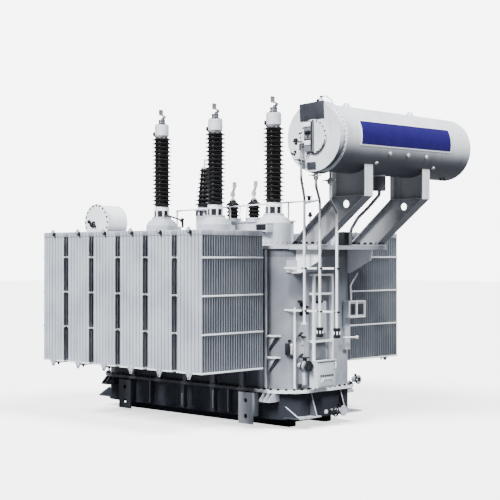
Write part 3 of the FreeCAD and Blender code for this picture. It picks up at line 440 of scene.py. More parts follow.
class Shape:
    """Bevelled blocks, turned pieces and plates, in place, in metres."""

    def __init__(self):
        self.work = bmesh.new()

    def take(self, part, place=None, outwards=True):
        """Add a finished part, usually with its faces turned outwards."""
        if place is not None:
            part.transform(place)
        if outwards:
            bmesh.ops.recalc_face_normals(part, faces=part.faces)
        mesh = bpy.data.meshes.new("part")
        part.to_mesh(mesh)
        part.free()
        self.work.from_mesh(mesh)
        bpy.data.meshes.remove(mesh)

    def add(self, mesh, place=None):
        """Join an existing mesh, moved by a matrix."""
        part = bmesh.new()
        part.from_mesh(mesh)
        self.take(part, place, outwards=False)

    def block(self, low, high, edge=0.004, turn=None):
        """A box with rounded edges; turn is a matrix about the box's own centre."""
        part = bmesh.new()
        bmesh.ops.create_cube(part, size=1.0)
        size = [b - a for a, b in zip(low, high)]
        bmesh.ops.scale(part, vec=size, verts=part.verts)
        bmesh.ops.bevel(part, geom=part.edges, offset=min(edge, min(size) * BEVEL_SHARE), segments=2,
                        profile=0.5, affect="EDGES")
        centre = Matrix.Translation([(a + b) / 2 for a, b in zip(low, high)])
        self.take(part, centre @ turn if turn else centre)

    def blocks(self, *rows):
        """Several blocks, each given as the values for one call."""
        for row in rows:
            self.block(*row)

    def turned(self, profile, origin, axis="Z", steps=24, aim=None):
        """A lathe piece: radii and heights along an axis, or along the vector aim."""
        part = bmesh.new()
        rings = []
        for radius, height in profile:
            if radius <= 0:
                rings.append([part.verts.new((0, 0, height))])
                continue
            turns = [2 * math.pi * k / steps for k in range(steps)]
            rings.append([part.verts.new((radius * math.cos(a), radius * math.sin(a), height))
                          for a in turns])
        for lower, upper in zip(rings, rings[1:]):
            for k in range(steps):
                corners = [lower[k % len(lower)], lower[(k + 1) % len(lower)],
                           upper[(k + 1) % len(upper)], upper[k % len(upper)]]
                part.faces.new(list(dict.fromkeys(corners)))
        spin = Vector(aim).to_track_quat("Z", "Y").to_matrix() if aim else SPIN[axis]
        self.take(part, Matrix.Translation(origin) @ spin.to_4x4())

    def knob(self, radius, length, origin, axis="Z", aim=None):
        """A short turned piece with rounded ends, from the origin outwards."""
        cut = min(radius, length) * KNOB_SHARE
        profile = [(0, 0), (radius - cut, 0), (radius, cut), (radius, length - cut), (radius - cut, length),
                   (0, length)]
        self.turned(profile, origin, axis, KNOB_SIDES, aim)

    def knobs(self, *rows):
        for row in rows:
            self.knob(*row)

    def plate(self, outline, axis, start, stop, edge=0.0015):
        """A flat plate with a bevelled rim, cut to an outline across an axis."""
        part = bmesh.new()
        flat = part.faces.new([part.verts.new((u, v, start)) for u, v in outline])
        raised = bmesh.ops.extrude_face_region(part, geom=[flat])["geom"]
        tops = [item for item in raised if isinstance(item, bmesh.types.BMVert)]
        bmesh.ops.translate(part, vec=(0, 0, stop - start), verts=tops)
        rims = [e for e in part.edges if abs(e.verts[0].co.z - e.verts[1].co.z) < SAME_LEVEL]
        bmesh.ops.bevel(part, geom=rims, offset=edge, segments=1, profile=0.5, affect="EDGES")
        self.take(part, SPIN[axis].to_4x4())

    def posts(self, count, shift, centre, radius, half, edge):
        """Blocks standing in a circle, each turned to face outwards."""
        for k in range(count):
            turn = Matrix.Rotation(2 * math.pi / count * (k + shift), 4, "Z")
            spot = Vector(centre) + turn @ Vector((radius, 0, 0))
            self.block(spot - Vector(half), spot + Vector(half), edge, turn)

    def mesh(self, name):
        made = bpy.data.meshes.new(name)
        self.work.to_mesh(made)
        self.work.free()
        return made

    def piece(self, name, finish, slot):
        """Close the collection: one object that rides on the frame."""
        return placed(name, self.mesh(name), finish)


def placed(name, mesh, finish):
    mesh.materials.clear()
    mesh.materials.append(finish)
    mesh.shade_smooth()
    mesh.set_sharp_from_angle(angle=CREASE)
    made = bpy.data.objects.new(name, mesh)
    bpy.context.scene.collection.objects.link(made)
    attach(made, "root")
    print("piece", name, len(mesh.polygons), "faces")
    return made


# %% [markdown]
# ## Rules for what repeats
# Fins, sheds and bolts follow a rule, and a rule is a Geometry Nodes tree with named sizes. It is grown on a
# source mesh, such as the line that the bolts follow, and the result is kept as a plain mesh. Instances are
# made real at the end, because an exported model can't hold them.

# %% A rule and how it is grown
class Rule(Tree):
    """A Geometry Nodes tree with named sizes."""

    SOCKETS = {float: "NodeSocketFloat", int: "NodeSocketInt", tuple: "NodeSocketVector"}

    def __init__(self, name, **sizes):
        super().__init__(bpy.data.node_groups.new(name, "GeometryNodeTree"))
        face = self.tree.interface
        face.new_socket("Geometry", in_out="INPUT", socket_type="NodeSocketGeometry")
        face.new_socket("Geometry", in_out="OUTPUT", socket_type="NodeSocketGeometry")
        self.key = {}
        for size, value in sizes.items():
            socket = face.new_socket(size, in_out="INPUT", socket_type=self.SOCKETS[type(value)])
            socket.default_value = value
            self.key[size] = socket.identifier
        finish = face.new_socket("Finish", in_out="INPUT", socket_type="NodeSocketMaterial")
        self.key["Finish"] = finish.identifier
        self.given = self.tree.nodes.new("NodeGroupInput").outputs

    def size(self, name):
        return Signal(self, self.given[name])

    def step(self, kind, settings=None, **inputs):
        """The first output of a Geometry Nodes node; spaces in its sockets' names are written as _."""
        named = {key.replace("_", " "): value for key, value in inputs.items()}
        return self.node("GeometryNode" + kind, settings, named).outputs[0]

    def moved(self, geometry, **where):
        """Translation, Rotation or Scale of a geometry."""
        return self.step("Transform", Geometry=geometry, **where)

    def vector(self, x, y, z):
        return self.node("ShaderNodeCombineXYZ", {}, {0: x, 1: y, 2: z}).outputs[0]

    def joined(self, *parts):
        return self.step("JoinGeometry", Geometry=list(parts))

    def instances(self, points, instance, **turn):
        return self.step("InstanceOnPoints", Points=points, Instance=instance, **turn)

    def tube(self, curve, sides, radius, scale):
        """A circle swept along a curve, with closed ends."""
        circle = self.step("CurvePrimitiveCircle", Resolution=sides, Radius=radius)
        return self.step("CurveToMesh", Curve=curve, Profile_Curve=circle, Scale=scale, Fill_Caps=True)

    def close(self, geometry):
        """Make instances real, set the material and end the tree."""
        real = self.step("RealizeInstances", Geometry=geometry)
        coated = self.step("SetMaterial", Geometry=real, Material=self.given["Finish"])
        self.node("NodeGroupOutput", {}, {0: coated})
        print("rule", self.tree.name, len(self.tree.nodes), "nodes")
        return self


def grown(rule, source, finish, **sizes):
    """Grow a rule on a source mesh and keep the result as a plain mesh."""
    seed = bpy.data.objects.new("seed", source)
    bpy.context.scene.collection.objects.link(seed)
    modifier = seed.modifiers.new("rule", "NODES")
    modifier.node_group = rule.tree
    for size, value in {**sizes, "Finish": finish}.items():
        modifier[rule.key[size]] = value
    graph = bpy.context.evaluated_depsgraph_get()
    mesh = bpy.data.meshes.new_from_object(seed.evaluated_get(graph))
    seed.modifiers.remove(modifier)
    bpy.data.objects.remove(seed)
    return mesh


def lines(*paths, closed=False):
    """A source mesh of paths, each a list of points."""
    mesh = bpy.data.meshes.new("lines")
    points = []
    edges = []
    for path in paths:
        first = len(points)
        points += path
        edges += [(first + k, first + k + 1) for k in range(len(path) - 1)]
        if closed:
            edges.append((len(points) - 1, first))
    mesh.from_pydata(points, edges, [])
    return mesh


def ring(centre, radius, axis="Z", steps=48):
    """A closed circle of points across an axis."""
    turns = [2 * math.pi * k / steps for k in range(steps)]
    return [tuple(Vector(centre) + SPIN[axis] @ Vector((radius * math.cos(a), radius * math.sin(a), 0)))
            for a in turns]


# %% [markdown]
# ## The radiators
# Each radiator is a stack of 26 thin pressed panels. A panel is two sheets with upright flutes between weld
# lines, flat near its top and bottom, and welded round a blunt rim. Bump in a material could fake the flutes,
# but their outline shows at the edges, so the rule swells a thin gridded slab on both faces, and stands the
# panels in a row. The outermost panel gets a fine grid because its flutes are seen from the front; the others
# show only their edges.

# %% The rule for one panel
FINE_GRID, PLAIN_GRID = (71, 25), (15, 9)


def panel_sheets(rule, across, up):
    """Both sheets of a panel with a blunt welded rim: X across, Y up, foot at zero."""
    width, height, thick = rule.size("Width"), rule.size("Height"), rule.size("Thickness")
    slab = rule.step("MeshCube", Size=rule.vector(width, height, thick), Vertices_X=across, Vertices_Y=up,
                     Vertices_Z=2)
    place = rule.step("InputPosition")
    x, y, z = (rule.split(place, axis) for axis in "XYZ")
    side = width * 0.5 - x.absolute()
    end = height * 0.5 - y.absolute()
    wave = (side / width * rule.size("Flutes") * math.pi).sine().absolute()
    flute = wave ** 0.6 * rule.band(end, 0.06, 0.16)
    rim = rule.fade(side.lesser(end), 0.0, 0.006) * 0.55
    lift = z * (flute * 0.86 + 0.14 + rim)
    sheet = rule.step("SetPosition", Geometry=slab, Position=rule.vector(x, y, lift))
    return rule.moved(sheet, Translation=rule.vector(0.0, height * 0.5, 0.0))


# %% The rule for a stack
def radiator_rule():
    rule = Rule("radiator", Width=PANEL_WIDTH, Height=2.07, Thickness=0.014, Pitch=0.05, Panels=26,
                Flutes=FLUTES)
    upright = (math.pi / 2, 0, 0)
    fine = rule.moved(panel_sheets(rule, *FINE_GRID), Rotation=upright)
    plain = rule.moved(panel_sheets(rule, *PLAIN_GRID), Rotation=upright)
    pitch = rule.vector(0.0, rule.size("Pitch"), 0.0)
    line = rule.step("MeshLine", Count=rule.size("Panels") - 1.0, Start_Location=pitch, Offset=pitch)
    return rule.close(rule.joined(fine, rule.instances(line, plain)))


block_low, block_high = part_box("radiator_front_1")
BLOCK = block_high - block_low
PANEL_HEIGHT = BLOCK.z
TIE_LEVELS = (0.0, 0.553, 1.106, 1.659)
panels = grown(radiator_rule(), lines([(0, 0, 0)]), radiator_enamel, Height=PANEL_HEIGHT - 0.02)
print("one stack", len(panels.polygons), "faces, block", tuple(round(v, 3) for v in BLOCK))


# %% [markdown]
# ## Steel round the stacks
# A stack is held together by flat tie bars at four levels on both sides, fed by two round headers, and closed
# at the top by a smooth folded hood. A lifting lug stands on the outer face at the top, and a smaller pointed
# one hangs below, beside the drain plug.

# %% Ties, headers, hood and lugs, with the outer face at y = 0
BACK_FACE = BLOCK.y + 0.003


def radiator_metal():
    """The enamelled steel round a stack."""
    steel = Shape()
    steel.block((-0.266, -0.003, PANEL_HEIGHT - 0.082), (0.266, BACK_FACE, PANEL_HEIGHT), 0.012)
    for level in (0.13, PANEL_HEIGHT - 0.13):
        steel.turned(stem(0.042, BLOCK.y - 0.03), (0, 0.03, level), "Y")
    steel.plate([(-0.07, PANEL_HEIGHT - 0.02), (0.05, PANEL_HEIGHT - 0.05), (0.028, PANEL_HEIGHT + 0.03),
                 (0.0, PANEL_HEIGHT + 0.045), (-0.02, PANEL_HEIGHT + 0.035)], "Y", -0.022, 0.0, 0.004)
    steel.plate([(-0.075, 0.03), (0.075, 0.03), (0.055, -0.02), (0.018, -0.085), (-0.018, -0.085),
                 (-0.055, -0.02)], "Y", -0.012, 0.004, 0.003)
    return steel


def radiator_ties():
    """Flat bars along both sides, and one under each face."""
    bars = Shape()
    for level in TIE_LEVELS:
        for inner, outer in ((-0.270, -0.258), (0.258, 0.270)):
            bars.block((inner, -0.004, level), (outer, BACK_FACE, level + 0.026), 0.003)
    for near, far in ((-0.004, 0.012), (BLOCK.y - 0.012, BACK_FACE)):
        bars.block((-0.26, near, 0.0), (0.26, far, 0.02), 0.003)
    return bars


def radiator_plugs():
    """A dark piece in the hood that stands for a shadow spot, the hole of the lug, and the drain plug with its
    plate.
    """
    dark = Shape()
    # Painted shadow: this dark piece beside the top lug stands for the shadow spot below the hood's edge.
    dark.turned([(0, 0), (0.022, 0.002), (0.026, 0.03), (0.012, 0.062), (0, 0.064)],
                (0.03, -0.022, PANEL_HEIGHT - 0.062), aim=(0.25, 0, 1))
    dark.knobs((0.012, 0.012, (0, -0.023, -0.055), "Y"), (0.022, 0.075, (0.0, 0.10, -0.045)),
               (0.014, 0.03, (0.0, 0.10, -0.068)))
    dark.block((-0.09, 0.02, -0.028), (0.09, 0.28, -0.002), 0.006)
    return dark


# %% Twelve radiators in two rows
metal_mesh, tie_mesh = radiator_metal().mesh("metal"), radiator_ties().mesh("ties")
plug_and_shadow_mesh = radiator_plugs().mesh("plugs")
row_ties, row_plugs_and_shadows = Shape(), Shape()
for row, turn in (("front", 0.0), ("back", math.pi)):
    for number in range(1, 7):
        node_name = "radiator_%s_%d" % (row, number)
        low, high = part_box(node_name)
        face_y = low.y if row == "front" else high.y
        place = Matrix.Translation(((low.x + high.x) / 2, face_y, low.z)) @ Matrix.Rotation(turn, 4, "Z")
        stack = Shape()
        stack.add(panels, place @ Matrix.Translation((0, 0.007, 0.01)))
        stack.add(metal_mesh, place)
        made = stack.piece("panels_%s_%d" % (row, number), radiator_enamel, "radiator_paint")
        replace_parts(made, node_name)
        row_ties.add(tie_mesh, place)
        row_plugs_and_shadows.add(plug_and_shadow_mesh, place)
row_ties.piece("radiator_ties", tie_enamel, "radiator_paint")
row_plugs_and_shadows.piece("radiator_plugs", black_fitting, "relay_metal")

# %% [markdown]
# ## The porcelain insulators
# A tall insulator is a core with thin sheds at an even pitch, each flat below and sloping above. It could be
# one long lathe profile, but its outline is one curve repeated, so the rule reads a Float Curve once for every
# shed and uses it as the radius of a tube. The tall ones are straight, and the neutral one narrows upwards.

# %% The rule for sheds
SHED_OUTLINE = ((0.30, 0.0), (0.40, 0.10), (0.50, 0.94), (0.60, 1.0), (0.70, 0.55), (0.80, 0.2),
                (0.90, 0.05))
RINGS_PER_SHED = 10.0
TALL_STACK = dict(Core=0.117, Shed=0.166, Sheds=17, Taper=0.0)
NEUTRAL_STACK = dict(Core=0.120, Shed=0.180, Sheds=9, Taper=0.5)
HV_NODES = ["hv_porcelain_%d" % number for number in (1, 2, 3)]


def shed_rule():
    rule = Rule("sheds", Height=1.19, Core=0.117, Shed=0.166, Sheds=17, Taper=0.0)
    line = rule.step("CurvePrimitiveLine", Start=(0, 0, 0), End=rule.vector(0.0, 0.0, rule.size("Height")))
    count = rule.size("Sheds")
    cut = rule.step("ResampleCurve", {"mode": "COUNT"}, Curve=line, Count=count * RINGS_PER_SHED + 1.0)
    along = Signal(rule, rule.node("GeometryNodeSplineParameter").outputs["Factor"])
    outline = rule.node("ShaderNodeFloatCurve", {}, {"Value": (along * count + 0.0005).fraction()})
    curve = outline.mapping.curves[0]
    curve.points[0].location, curve.points[1].location = (0.0, 0.0), (1.0, 0.0)
    for place in SHED_OUTLINE:
        curve.points.new(*place)
    for point in curve.points:
        point.handle_type = "VECTOR"
    outline.mapping.update()
    narrow = 1.0 - along * rule.size("Taper")
    reach = rule.size("Core") + (rule.size("Shed") - rule.size("Core")) * Signal(rule, outline.outputs[0])
    tube = rule.tube(cut, SHED_SIDES, 1.0, reach * narrow)
    return rule.close(rule.instances(rule.given["Geometry"], tube))


insulator_rule = shed_rule()
for node_name in HV_NODES + ["neutral_porcelain"]:
    low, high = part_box(node_name)
    centre = (low + high) / 2
    sizes = TALL_STACK if node_name in HV_NODES else NEUTRAL_STACK
    stack = grown(insulator_rule, lines([(centre.x, centre.y, low.z)]), brown_glaze, Height=high.z - low.z,
                  **sizes)
    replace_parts(placed("sheds_" + node_name, stack, brown_glaze), node_name)

# %% [markdown]
# ## Bolts
# A bolt shows its hexagonal head on a round washer. An Array modifier could repeat it, but only along one line
# at a time. The rule spaces bolts evenly along any path and turns them to look along an axis, so one call
# covers the whole joint round the tank and another a manhole.

# %% The rule for bolts
UP, DOWN, OUT = (0.0, 0.0, 1.0), (0.0, 0.0, -1.0), (1.0, 0.0, 0.0)
NEAR, FAR = (0.0, -1.0, 0.0), (0.0, 1.0, 0.0)


def bolt_rule():
    rule = Rule("bolts", Count=12, Head=0.012, Axis=UP)
    head = rule.size("Head")
    path = rule.step("MeshToCurve", Mesh=rule.given["Geometry"])
    spots = rule.step("ResampleCurve", {"mode": "COUNT"}, Curve=path, Count=rule.given["Count"])
    washer = rule.step("MeshCylinder", Vertices=12, Radius=head * 1.35, Depth=head * 0.3)
    hexagon = rule.step("MeshCylinder", Vertices=6, Radius=head, Depth=head * 0.9)
    crown = rule.step("MeshCone", Vertices=6, Radius_Bottom=head, Radius_Top=head * 0.72, Depth=head * 0.2)
    bolt = rule.joined(*(rule.moved(part, Translation=rule.vector(0.0, 0.0, head * rise))
                         for part, rise in ((washer, 0.15), (hexagon, 0.7), (crown, 1.15))))
    aim = rule.node("FunctionNodeAlignRotationToVector", {"axis": "Z"}, {"Vector": rule.given["Axis"]})
    return rule.close(rule.instances(spots, bolt, Rotation=aim.outputs[0]))


fastener_rule = bolt_rule()


def bolts(work, source, count, head, aim):
    """A number of bolts along each path of a source mesh."""
    work.add(grown(fastener_rule, source, dark_steel, Count=count, Head=head, Axis=aim))


def bolt_row(work, start, stop, count, head, aim):
    bolts(work, lines([start, stop]), count, head, aim)


def bolt_circle(work, centres, radius, count, head, aim, axis="Z"):
    """A circle of bolts round each centre."""
    bolts(work, lines(*(ring(centre, radius, axis) for centre in centres), closed=True), count, head, aim)


def bolt_frame(work, low, high, inset, corner, z, count, head, aim):
    """Bolts along a rectangle with round corners, a little inside two corners."""
    steps = 10
    x0, y0, x1, y1 = low[0] + inset, low[1] + inset, high[0] - inset, high[1] - inset
    corners = ((x1 - corner, y1 - corner), (x0 + corner, y1 - corner), (x0 + corner, y0 + corner),
               (x1 - corner, y0 + corner))
    points = []
    for quarter, (x, y) in enumerate(corners):
        for k in range(steps + 1):
            angle = math.pi / 2 * (quarter + k / steps)
            points.append((x + corner * math.cos(angle), y + corner * math.sin(angle), z))
    bolts(work, lines(points, closed=True), count, head, aim)


# %% The bolted joint round the tank
RIM, CORNER = 0.030, 0.48
flange_low, flange_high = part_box("upper_flange")
joint = Shape()
bolt_frame(joint, flange_low, flange_high, RIM, CORNER, flange_high.z, 96, 0.020, UP)
bolt_frame(joint, flange_low, flange_high, RIM, CORNER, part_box("lower_flange")[0].z, 96, 0.015, DOWN)
joint.piece("joint_bolts", black_fitting, "relay_metal")

# %% Bolts on the cover, turrets, frame soles and lids
COVER_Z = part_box("top_cover")[1].z
HV_X = [(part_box(name)[0].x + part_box(name)[1].x) / 2 for name in HV_NODES]
hv_low, hv_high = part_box(HV_NODES[0])
HV_Y = (hv_low.y + hv_high.y) / 2
FOOT_Z, TOP_Z = hv_low.z, hv_high.z
HEAD_TOP = TOP_Z + 0.221
LID_Z = 3.19
neutral_low, neutral_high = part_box("neutral_porcelain")
NEUTRAL = (neutral_low + neutral_high) / 2
box_low, box_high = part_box("low_voltage_box")
cover_bolts = Shape()
bolt_circle(cover_bolts, [(x, HV_Y, COVER_Z + 0.036) for x in HV_X], 0.292, 20, 0.011, UP)
bolt_circle(cover_bolts, [(NEUTRAL.x, NEUTRAL.y, COVER_Z + 0.03)], 0.178, 14, 0.010, UP)
bolt_frame(cover_bolts, box_low, box_high, 0.02, 0.03, LID_Z, 34, 0.009, UP)
for side in ("front", "back"):
    frame_low, frame_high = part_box("support_frame_" + side)
    for y in (frame_low.y + RIM, frame_high.y - RIM):
        bolt_row(cover_bolts, (2.13, y, COVER_Z + 0.02), (2.60, y, COVER_Z + 0.02), 5, 0.026, UP)
cover_bolts.piece("cover_bolts", black_fitting, "relay_metal")

# %% Bolts on the bushing heads, drum and conservator
drum_low, drum_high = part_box("tap_changer_drum")
DRUM = Vector((-2.1, drum_low.y, 3.19))
lid_low, lid_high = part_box("conservator_cover")
TANK_X, TANK_Z = (lid_low.x + lid_high.x) / 2, (lid_low.z + lid_high.z) / 2
head_bolts = Shape()
bolt_circle(head_bolts, [(x, HV_Y, HEAD_TOP) for x in HV_X], 0.096, 8, 0.012, UP)
for x in HV_X:
    for z in (HEAD_TOP + 0.028, HEAD_TOP + 0.072):
        bolt_row(head_bolts, (x - 0.036, HV_Y - 0.028, z), (x + 0.036, HV_Y - 0.028, z), 2, 0.011, NEAR)
        bolt_row(head_bolts, (x + 0.052, HV_Y - 0.014, z), (x + 0.052, HV_Y + 0.014, z), 2, 0.008, OUT)
bolt_circle(head_bolts, [DRUM], 0.292, 20, 0.013, NEAR, "Y")
bolt_circle(head_bolts, [(DRUM.x, drum_high.y, DRUM.z)], 0.262, 20, 0.010, FAR, "Y")
bolt_circle(head_bolts, [(TANK_X, lid_low.y, TANK_Z)], 0.226, 20, 0.009, NEAR, "Y")
head_bolts.piece("head_bolts", dark_steel, "relay_metal")

# %% [markdown]
# ## Pipes and conduits
# A conduit is a path of straight runs with rounded bends. Short cylinders would gape at the corners. The rule
# fillets the path and sweeps a circle along it, which keeps the tube round through every bend.

# %% The rule for conduits
def conduit_rule():
    rule = Rule("conduit", Radius=0.01, Bend=0.05)
    path = rule.step("MeshToCurve", Mesh=rule.given["Geometry"])
    bent = rule.step("FilletCurve", {"mode": "POLY"}, Curve=path, Count=6, Radius=rule.given["Bend"],
                     Limit_Radius=True)
    return rule.close(rule.tube(bent, CONDUIT_SIDES, rule.given["Radius"], 1.0))


tube_rule = conduit_rule()


def tubes(work, path, radius=0.01, bend=0.05):
    work.add(grown(tube_rule, lines(path), dark_steel, Radius=radius, Bend=bend))


# %% [markdown]
# ## Bushing heads, collars and turret boxes
# Each tall bushing wears a white ring over a dark band held by seven small posts, a plug on the side of its
# head, and a dark neck between head and porcelain. The band is a clamping ring, coloured black as painted
# shade between the posts. The neutral one has dark windows round its foot. Rings are turned profiles and posts
# are blocks in a circle, because the gaps between them have to be real. The near turret carries a small
# terminal box.

# %% Collars and heads
TURRET_TOP = FOOT_Z - 0.174
RING_FOOT = FOOT_Z - 0.070
POST_HALF = (0.010, 0.014, (RING_FOOT - TURRET_TOP) / 2 + 0.002)
PLUG_SIDE = Vector((-0.724, -0.690, 0.0))
white_rings, dark_joints_and_shade = Shape(), Shape()
for x in HV_X:
    foot = (x, HV_Y, 0)
    white_rings.turned([(0, RING_FOOT), (0.124, RING_FOOT), (0.129, RING_FOOT + 0.005),
                        (0.129, FOOT_Z - 0.008), (0.124, FOOT_Z + 0.001), (0, FOOT_Z + 0.001)],
                       foot, steps=40)
    # Painted shade: this black band is the clamping ring, coloured black to stand for its shade between the
    # posts.
    dark_joints_and_shade.turned([(0, TURRET_TOP + 0.002), (0.122, TURRET_TOP + 0.002), (0.122, RING_FOOT - 0.002),
                        (0, RING_FOOT - 0.002)], foot, steps=40)
    dark_joints_and_shade.turned([(0, TOP_Z - 0.03), (0.112, TOP_Z - 0.03), (0.092, TOP_Z + 0.006),
                        (0.106, TOP_Z + 0.034), (0, TOP_Z + 0.034)], foot, steps=40)
    white_rings.posts(7, 0.4, (x, HV_Y, (TURRET_TOP + RING_FOOT) / 2), 0.128, POST_HALF, 0.004)
    dark_joints_and_shade.knob(0.030, 0.040, Vector((x, HV_Y, TOP_Z + 0.075)) + PLUG_SIDE * 0.112, aim=PLUG_SIDE)
    dark_joints_and_shade.turned([(0, 0), (0.016, 0.003), (0.016, 0.085), (0, 0.09)],
                       Vector((x, HV_Y, TOP_Z + 0.006)) + PLUG_SIDE * 0.090, aim=(-0.5, -0.48, 0.72))
dark_joints_and_shade.posts(9, 0.3, (NEUTRAL.x, NEUTRAL.y, neutral_low.z - 0.115), 0.147, (0.008, 0.030, 0.040), 0.006)
white_rings.piece("collar_rings", white_coat, "tank_paint")
dark_joints_and_shade.piece("collar_joints", black_fitting, "relay_metal")

# %% Terminal boxes and conduits on the cover
light_boxes, dark_boxes = Shape(), Shape()
light_boxes.blocks(((1.225, -0.560, 3.104), (1.490, -0.385, 3.126)),
                   ((1.462, -0.550, 2.975), (1.486, -0.385, 3.106)),
                   ((1.260, -0.542, 2.984), (1.464, -0.390, 3.016)))
dark_boxes.blocks(((1.255, -0.552, 3.016), (1.464, -0.390, 3.104), 0.006),
                  ((1.285, -0.548, 2.968), (1.470, -0.390, 2.986)))
for x in HV_X[:2]:
    light_boxes.block((x - 0.10, 0.05, 2.99), (x + 0.10, 0.17, 3.12), 0.008)
    dark_boxes.block((x - 0.085, 0.165, 3.005), (x + 0.085, 0.178, 3.105))
tubes(dark_boxes, [(-1.16, -0.28, 3.30), (-1.06, -0.24, 3.29), (-0.86, -0.22, 3.235), (-0.76, -0.22, 3.20)],
      0.014, 0.04)
dark_boxes.knob(0.030, 0.075, (-0.80, -0.22, 3.185), aim=(0.6, 0.0, 0.8))
dark_boxes.knobs((0.020, 0.10, (-0.765, -0.22, 3.09)), (0.026, 0.035, (1.74, 0.18, 3.27)),
                 (0.036, 0.05, (1.74, 0.18, 3.225)))
light_boxes.turned([(0, 0), (0.012, 0), (0.010, 0.46), (0, 0.46)], (1.74, 0.18, COVER_Z))
tubes(light_boxes, [(0.02, 0.40, 3.19), (-0.02, 0.40, 3.30), (0.00, 0.40, 3.44), (0.07, 0.42, 3.50),
                    (0.14, 0.42, 3.43), (0.12, 0.40, 3.19)], 0.006, 0.07)
light_boxes.piece("cover_boxes", light_enamel, "tank_paint")
dark_boxes.piece("cover_fittings", black_fitting, "relay_metal")

# %% [markdown]
# ## The conservator
# The big drum carries its instruments on the bolted end: a bare dark plate above the manhole, the oil level
# gauge with two knobs and its thin lead, small valves, and a second plate below. A plain coloured panel hangs
# on the long side, with nothing written on it. A flat sheet would cut into the drum, so the panel's grid is
# bent round the axis. The tap changer's drum has a small gauge of its own.

# %% A curved panel on the long side
SHELL_RADIUS = 0.478
PANEL = ((-0.935, -14.0), (1.270, -11.5), (1.300, 34.5), (-0.925, 31.0))
BORDER_Y, BORDER_TURN = 0.022, 2.6
INWARDS = ((1, 1), (-1, 1), (-1, -1), (1, -1))
FIELD = [(y + BORDER_Y * dy, turn + BORDER_TURN * dt) for (y, turn), (dy, dt) in zip(PANEL, INWARDS)]


def side_panel(name, corners, radius, finish):
    """A sheet on the drum; corners are (y, angle) at lower near, lower far, upper far and upper near."""
    across, up, thick = 24, 14, 0.006
    work = bmesh.new()
    grid = {}
    for layer, reach in enumerate((radius, radius + thick)):
        for i in range(across + 1):
            for j in range(up + 1):
                u, v = i / across, j / up
                weights = ((1 - u) * (1 - v), u * (1 - v), u * v, (1 - u) * v)
                y = sum(w * c[0] for w, c in zip(weights, corners))
                angle = math.radians(sum(w * c[1] for w, c in zip(weights, corners)))
                grid[layer, i, j] = work.verts.new((TANK_X + reach * math.cos(angle), y,
                                                    TANK_Z + reach * math.sin(angle)))
    for layer in (0, 1):
        for i in range(across):
            for j in range(up):
                work.faces.new([grid[layer, i, j], grid[layer, i + 1, j], grid[layer, i + 1, j + 1],
                                grid[layer, i, j + 1]])
    border = [(i, 0) for i in range(across)] + [(across, j) for j in range(up)]
    border += [(i, up) for i in range(across, 0, -1)] + [(0, j) for j in range(up, 0, -1)]
    for a, b in zip(border, border[1:] + border[:1]):
        work.faces.new([grid[0, a[0], a[1]], grid[0, b[0], b[1]], grid[1, b[0], b[1]], grid[1, a[0], a[1]]])
    panel = Shape()
    panel.take(work)
    return panel.piece(name, finish, "tank_paint")


side_panel("panel_border", PANEL, SHELL_RADIUS + 0.001, white_coat)
side_panel("panel_field", FIELD, SHELL_RADIUS + 0.004, blue_coat)

# %% Plates, level gauge and its lead on the bolted end
DISC = lid_low.y + 0.015
LEAD = DISC - 0.028
dark_parts, light_parts, grey_plates = Shape(), Shape(), Shape()
grey_plates.blocks(((2.918, DISC - 0.012, 4.520), (3.362, DISC + 0.002, 4.768), 0.004, tilt(-3, "Y")),
                   ((3.062, DISC - 0.022, 3.832), (3.214, DISC + 0.002, 3.930), 0.006))
low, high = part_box("oil_level_gauge")
front = low.y
back = front + 0.002
mid = (low.x + high.x) / 2
light_parts.blocks(
    ((low.x + 0.012, front - 0.014, high.z - 0.075), (high.x - 0.024, back, high.z - 0.012)),
    ((low.x + 0.016, front - 0.012, low.z + 0.085), (high.x - 0.03, back, low.z + 0.15)))
dark_parts.block((high.x - 0.022, front - 0.012, low.z + 0.01), (high.x - 0.004, back, high.z - 0.01), 0.003)
for dx, dz in ((-0.032, -0.155), (0.022, -0.151)):
    dark_parts.knob(0.024, 0.035, (mid + dx, back, high.z + dz), aim=NEAR)
dark_parts.blocks(
    ((mid - 0.008, front - 0.010, high.z - 0.23), (mid + 0.010, back, high.z - 0.15), 0.003),
    ((low.x + 0.01, front - 0.008, low.z + 0.165), (high.x - 0.03, back, low.z + 0.175), 0.002))
tubes(dark_parts, [(x, LEAD, z) for x, z in ((3.060, 3.985), (3.072, 4.03), (3.120, 4.085), (3.165, 4.05),
                                             (3.24, 4.045), (3.33, 4.107), (3.375, 4.17))]
      + [(3.392, DISC - 0.010, 4.24)], 0.007, 0.05)

# %% Small valves, studs and the rim's bolts
STUDS = ((-0.22, -23.5), (0.219, -23.5), (0.673, -23.5), (-0.423, -44.0), (0.987, -44.0))
PIPE_VALVES = ((2.995, -1.46, 3.952), (3.150, -1.3275, 3.735), (3.205, -1.10, 3.668))
dark_parts.turned([(0, 0), (0.024, 0.004), (0.030, 0.018), (0.024, 0.036), (0, 0.042)],
                  (2.839, DISC + 0.002, 4.252), aim=(0.15, -1, 0.1))
dark_parts.blocks(((2.80, DISC - 0.03, 4.243), (2.885, DISC - 0.012, 4.263), 0.004, tilt(-35, "Y")),
                  ((2.752, DISC - 0.022, 4.058), (2.832, DISC, 4.078), 0.004, tilt(20, "Y")),
                  ((2.945, -1.52, 4.205), (3.045, -1.50, 4.225)),
                  ((2.992, -1.507, 4.10), (3.008, -1.497, 4.19)))
dark_parts.knobs((0.014, 0.03, (2.928, DISC + 0.002, 4.344), "Z", NEAR),
                 (0.018, 0.03, (2.835, DISC + 0.002, 4.095), "Z", NEAR),
                 (0.018, 0.035, (2.945, -1.50, 4.19), "Z", NEAR))
